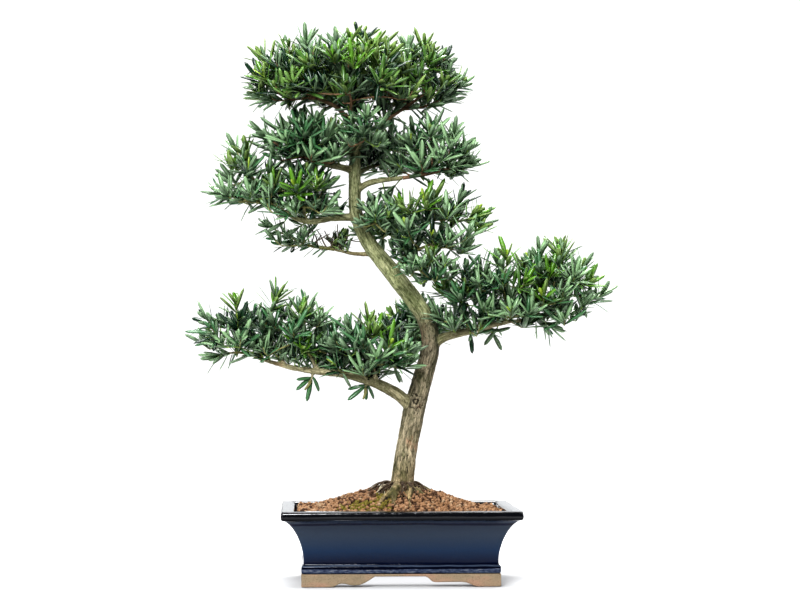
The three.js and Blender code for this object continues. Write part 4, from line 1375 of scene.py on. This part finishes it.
def soil_granules():
    """Granules over the whole mound, darker by the trunk as painted shade, and green in patches of
    moss.
    """
    chance = random.Random(SEED + 5)
    spots = granule_spots(chance)
    batches = [(granule_template(chance), [], []) for _ in range(GRANULE_KINDS)]
    for x, y, above in spots:
        size = chance.uniform(*GRANULE_SIZES)
        if abs(x) > SOIL_HALF_LENGTH - size or abs(y) > SOIL_HALF_DEPTH - size:
            continue
        template, copies, numbers = batches[chance.randrange(GRANULE_KINDS)]
        angle = chance.uniform(0, 6.28)
        turn = Matrix.Rotation(angle, 3, Vector([chance.gauss(0, 1) for _ in range(3)]))
        squash = np.array([chance.uniform(0.8, 1.15) for _ in range(3)]) * size
        place = np.array([x, y, soil_height(x, y) + above])
        copies.append((template.places * squash) @ np.array(turn).T + place)
        mossy = in_moss(x, y) + chance.uniform(-0.35, 0.2) > 0
        # Near the trunk the granules take a darker mix: painted shade round its foot
        shaded_by_trunk = math.hypot(x + 4, y + 8) < chance.uniform(22, 52)
        mix = SHADED_MIX_BY_TRUNK if shaded_by_trunk else MIX_ELSEWHERE
        is_moss = mossy and chance.random() < 0.75
        numbers.append([MOSSY if is_moss else chance.choices(range(MOSSY), mix)[0]])
    batches = [(template, np.array(copies), numbers) for template, copies, numbers in batches]
    mesh = joined("soil_granules", batches)
    materials = [soil_finish(name) for name in SOIL_COLOURS if name.startswith("granule")]
    return finished(mesh, "soil_granules", materials, smooth=False)


# Floor, light and camera. Lights: place, target, size, power and colour
FLOOR_SIZE = 1.2
FLOOR_DROP = 0.0003
NEUTRAL, COOL, COLD = (1, 1, 1), (0.97, 0.985, 1), (0.96, 0.98, 1)
LIGHTS = {
    "light_top": ((0.1, -0.3, 2.1), (0, 0, 0.3), (1.4, 1.2), 50, NEUTRAL),
    "light_front": ((-0.7, -2.5, 1.7), (0, 0, 0.4), (1.4, 1.0), 120, COOL),
    "light_left": ((-2.0, -1.0, 1.0), (0, 0, 0.4), (0.6, 1.2), 18, COLD),
    "light_right": ((2.0, -0.8, 1.1), (0, 0, 0.4), (0.6, 1.2), 14, COLD),
    "light_back": ((0, 1.3, 2.2), (0, 1.3, 0), (2.4, 1.2), 150, NEUTRAL),
    "light_under_pot": ((0, -0.01, 0.012), (0, -0.01, 0), (0.18, 0.11), 0.1, NEUTRAL),
}


def area_light(name, place, target, size, power, color):
    light = bpy.data.lights.new(name, "AREA")
    light.shape = "RECTANGLE"
    light.size, light.size_y = size
    light.energy = power
    light.color = color
    made = bpy.data.objects.new(name, light)
    made.location = place
    made.rotation_euler = (Vector(target) - Vector(place)).to_track_quat("-Z", "Y").to_euler()
    bpy.context.scene.collection.objects.link(made)


def pale_room():
    """A white background, which lights the tree chiefly from behind."""
    world = bpy.data.worlds.new("pale_room")
    world.use_nodes = True
    bpy.context.scene.world = world
    it = Nodes(world.node_tree)
    where = it.node("TexCoord").outputs["Generated"]
    far = it.node("SeparateXYZ", {"Vector": where}).outputs["Y"]
    shining = it.tree.nodes["Background"]
    it.set(shining, {"Color": (0.96, 0.98, 1, 1), "Strength": it.span(far, 0.5, 0.9, 0.08, 1.05)})
    seen = it.node("Background", {"Color": (1, 1, 1, 1)})
    to_camera = it.node("LightPath").outputs["Is Camera Ray"]
    mixed = it.node("MixShader", {0: to_camera, 1: shining.outputs[0], 2: seen.outputs[0]})
    it.set(it.tree.nodes["World Output"], {"Surface": mixed.outputs[0]})


def studio():
    """A plain pale floor, soft light from above and all round, and the camera."""
    bm = bmesh.new()
    bmesh.ops.create_grid(bm, x_segments=1, y_segments=1, size=FLOOR_SIZE)
    bmesh.ops.translate(bm, verts=bm.verts, vec=(0, 0, -FLOOR_DROP))
    floor = bpy.data.objects.new("floor", mesh_of(bm, "floor"))
    looks = Finish("floor_white", 0.9, specular=0.1, color=tint(186, 186, 187))
    floor.data.materials.append(looks.material)
    bpy.context.scene.collection.objects.link(floor)

    pale_room()
    for name, light in LIGHTS.items():
        area_light(name, *light)

    camera = bpy.data.cameras.new("camera")
    camera.sensor_fit = "HORIZONTAL"
    camera.sensor_width = 36
    camera.lens = CAMERA_LENS
    stand = bpy.data.objects.new("camera", camera)
    stand.location = CAMERA_PLACE * MM + POT_CENTRE
    stand.rotation_euler = (math.pi / 2 + CAMERA_LIFT, 0, -CAMERA_TURN)
    bpy.context.scene.collection.objects.link(stand)
    bpy.context.scene.camera = stand
    bpy.context.scene.view_settings.view_transform = "Standard"
    bpy.context.scene.view_settings.look = "Medium High Contrast"


studio()
pot()
pot_foot()
soil_bed()
soil_granules()
trunk_and_boughs()
fine_roots()
bare_twigs()
foliage()
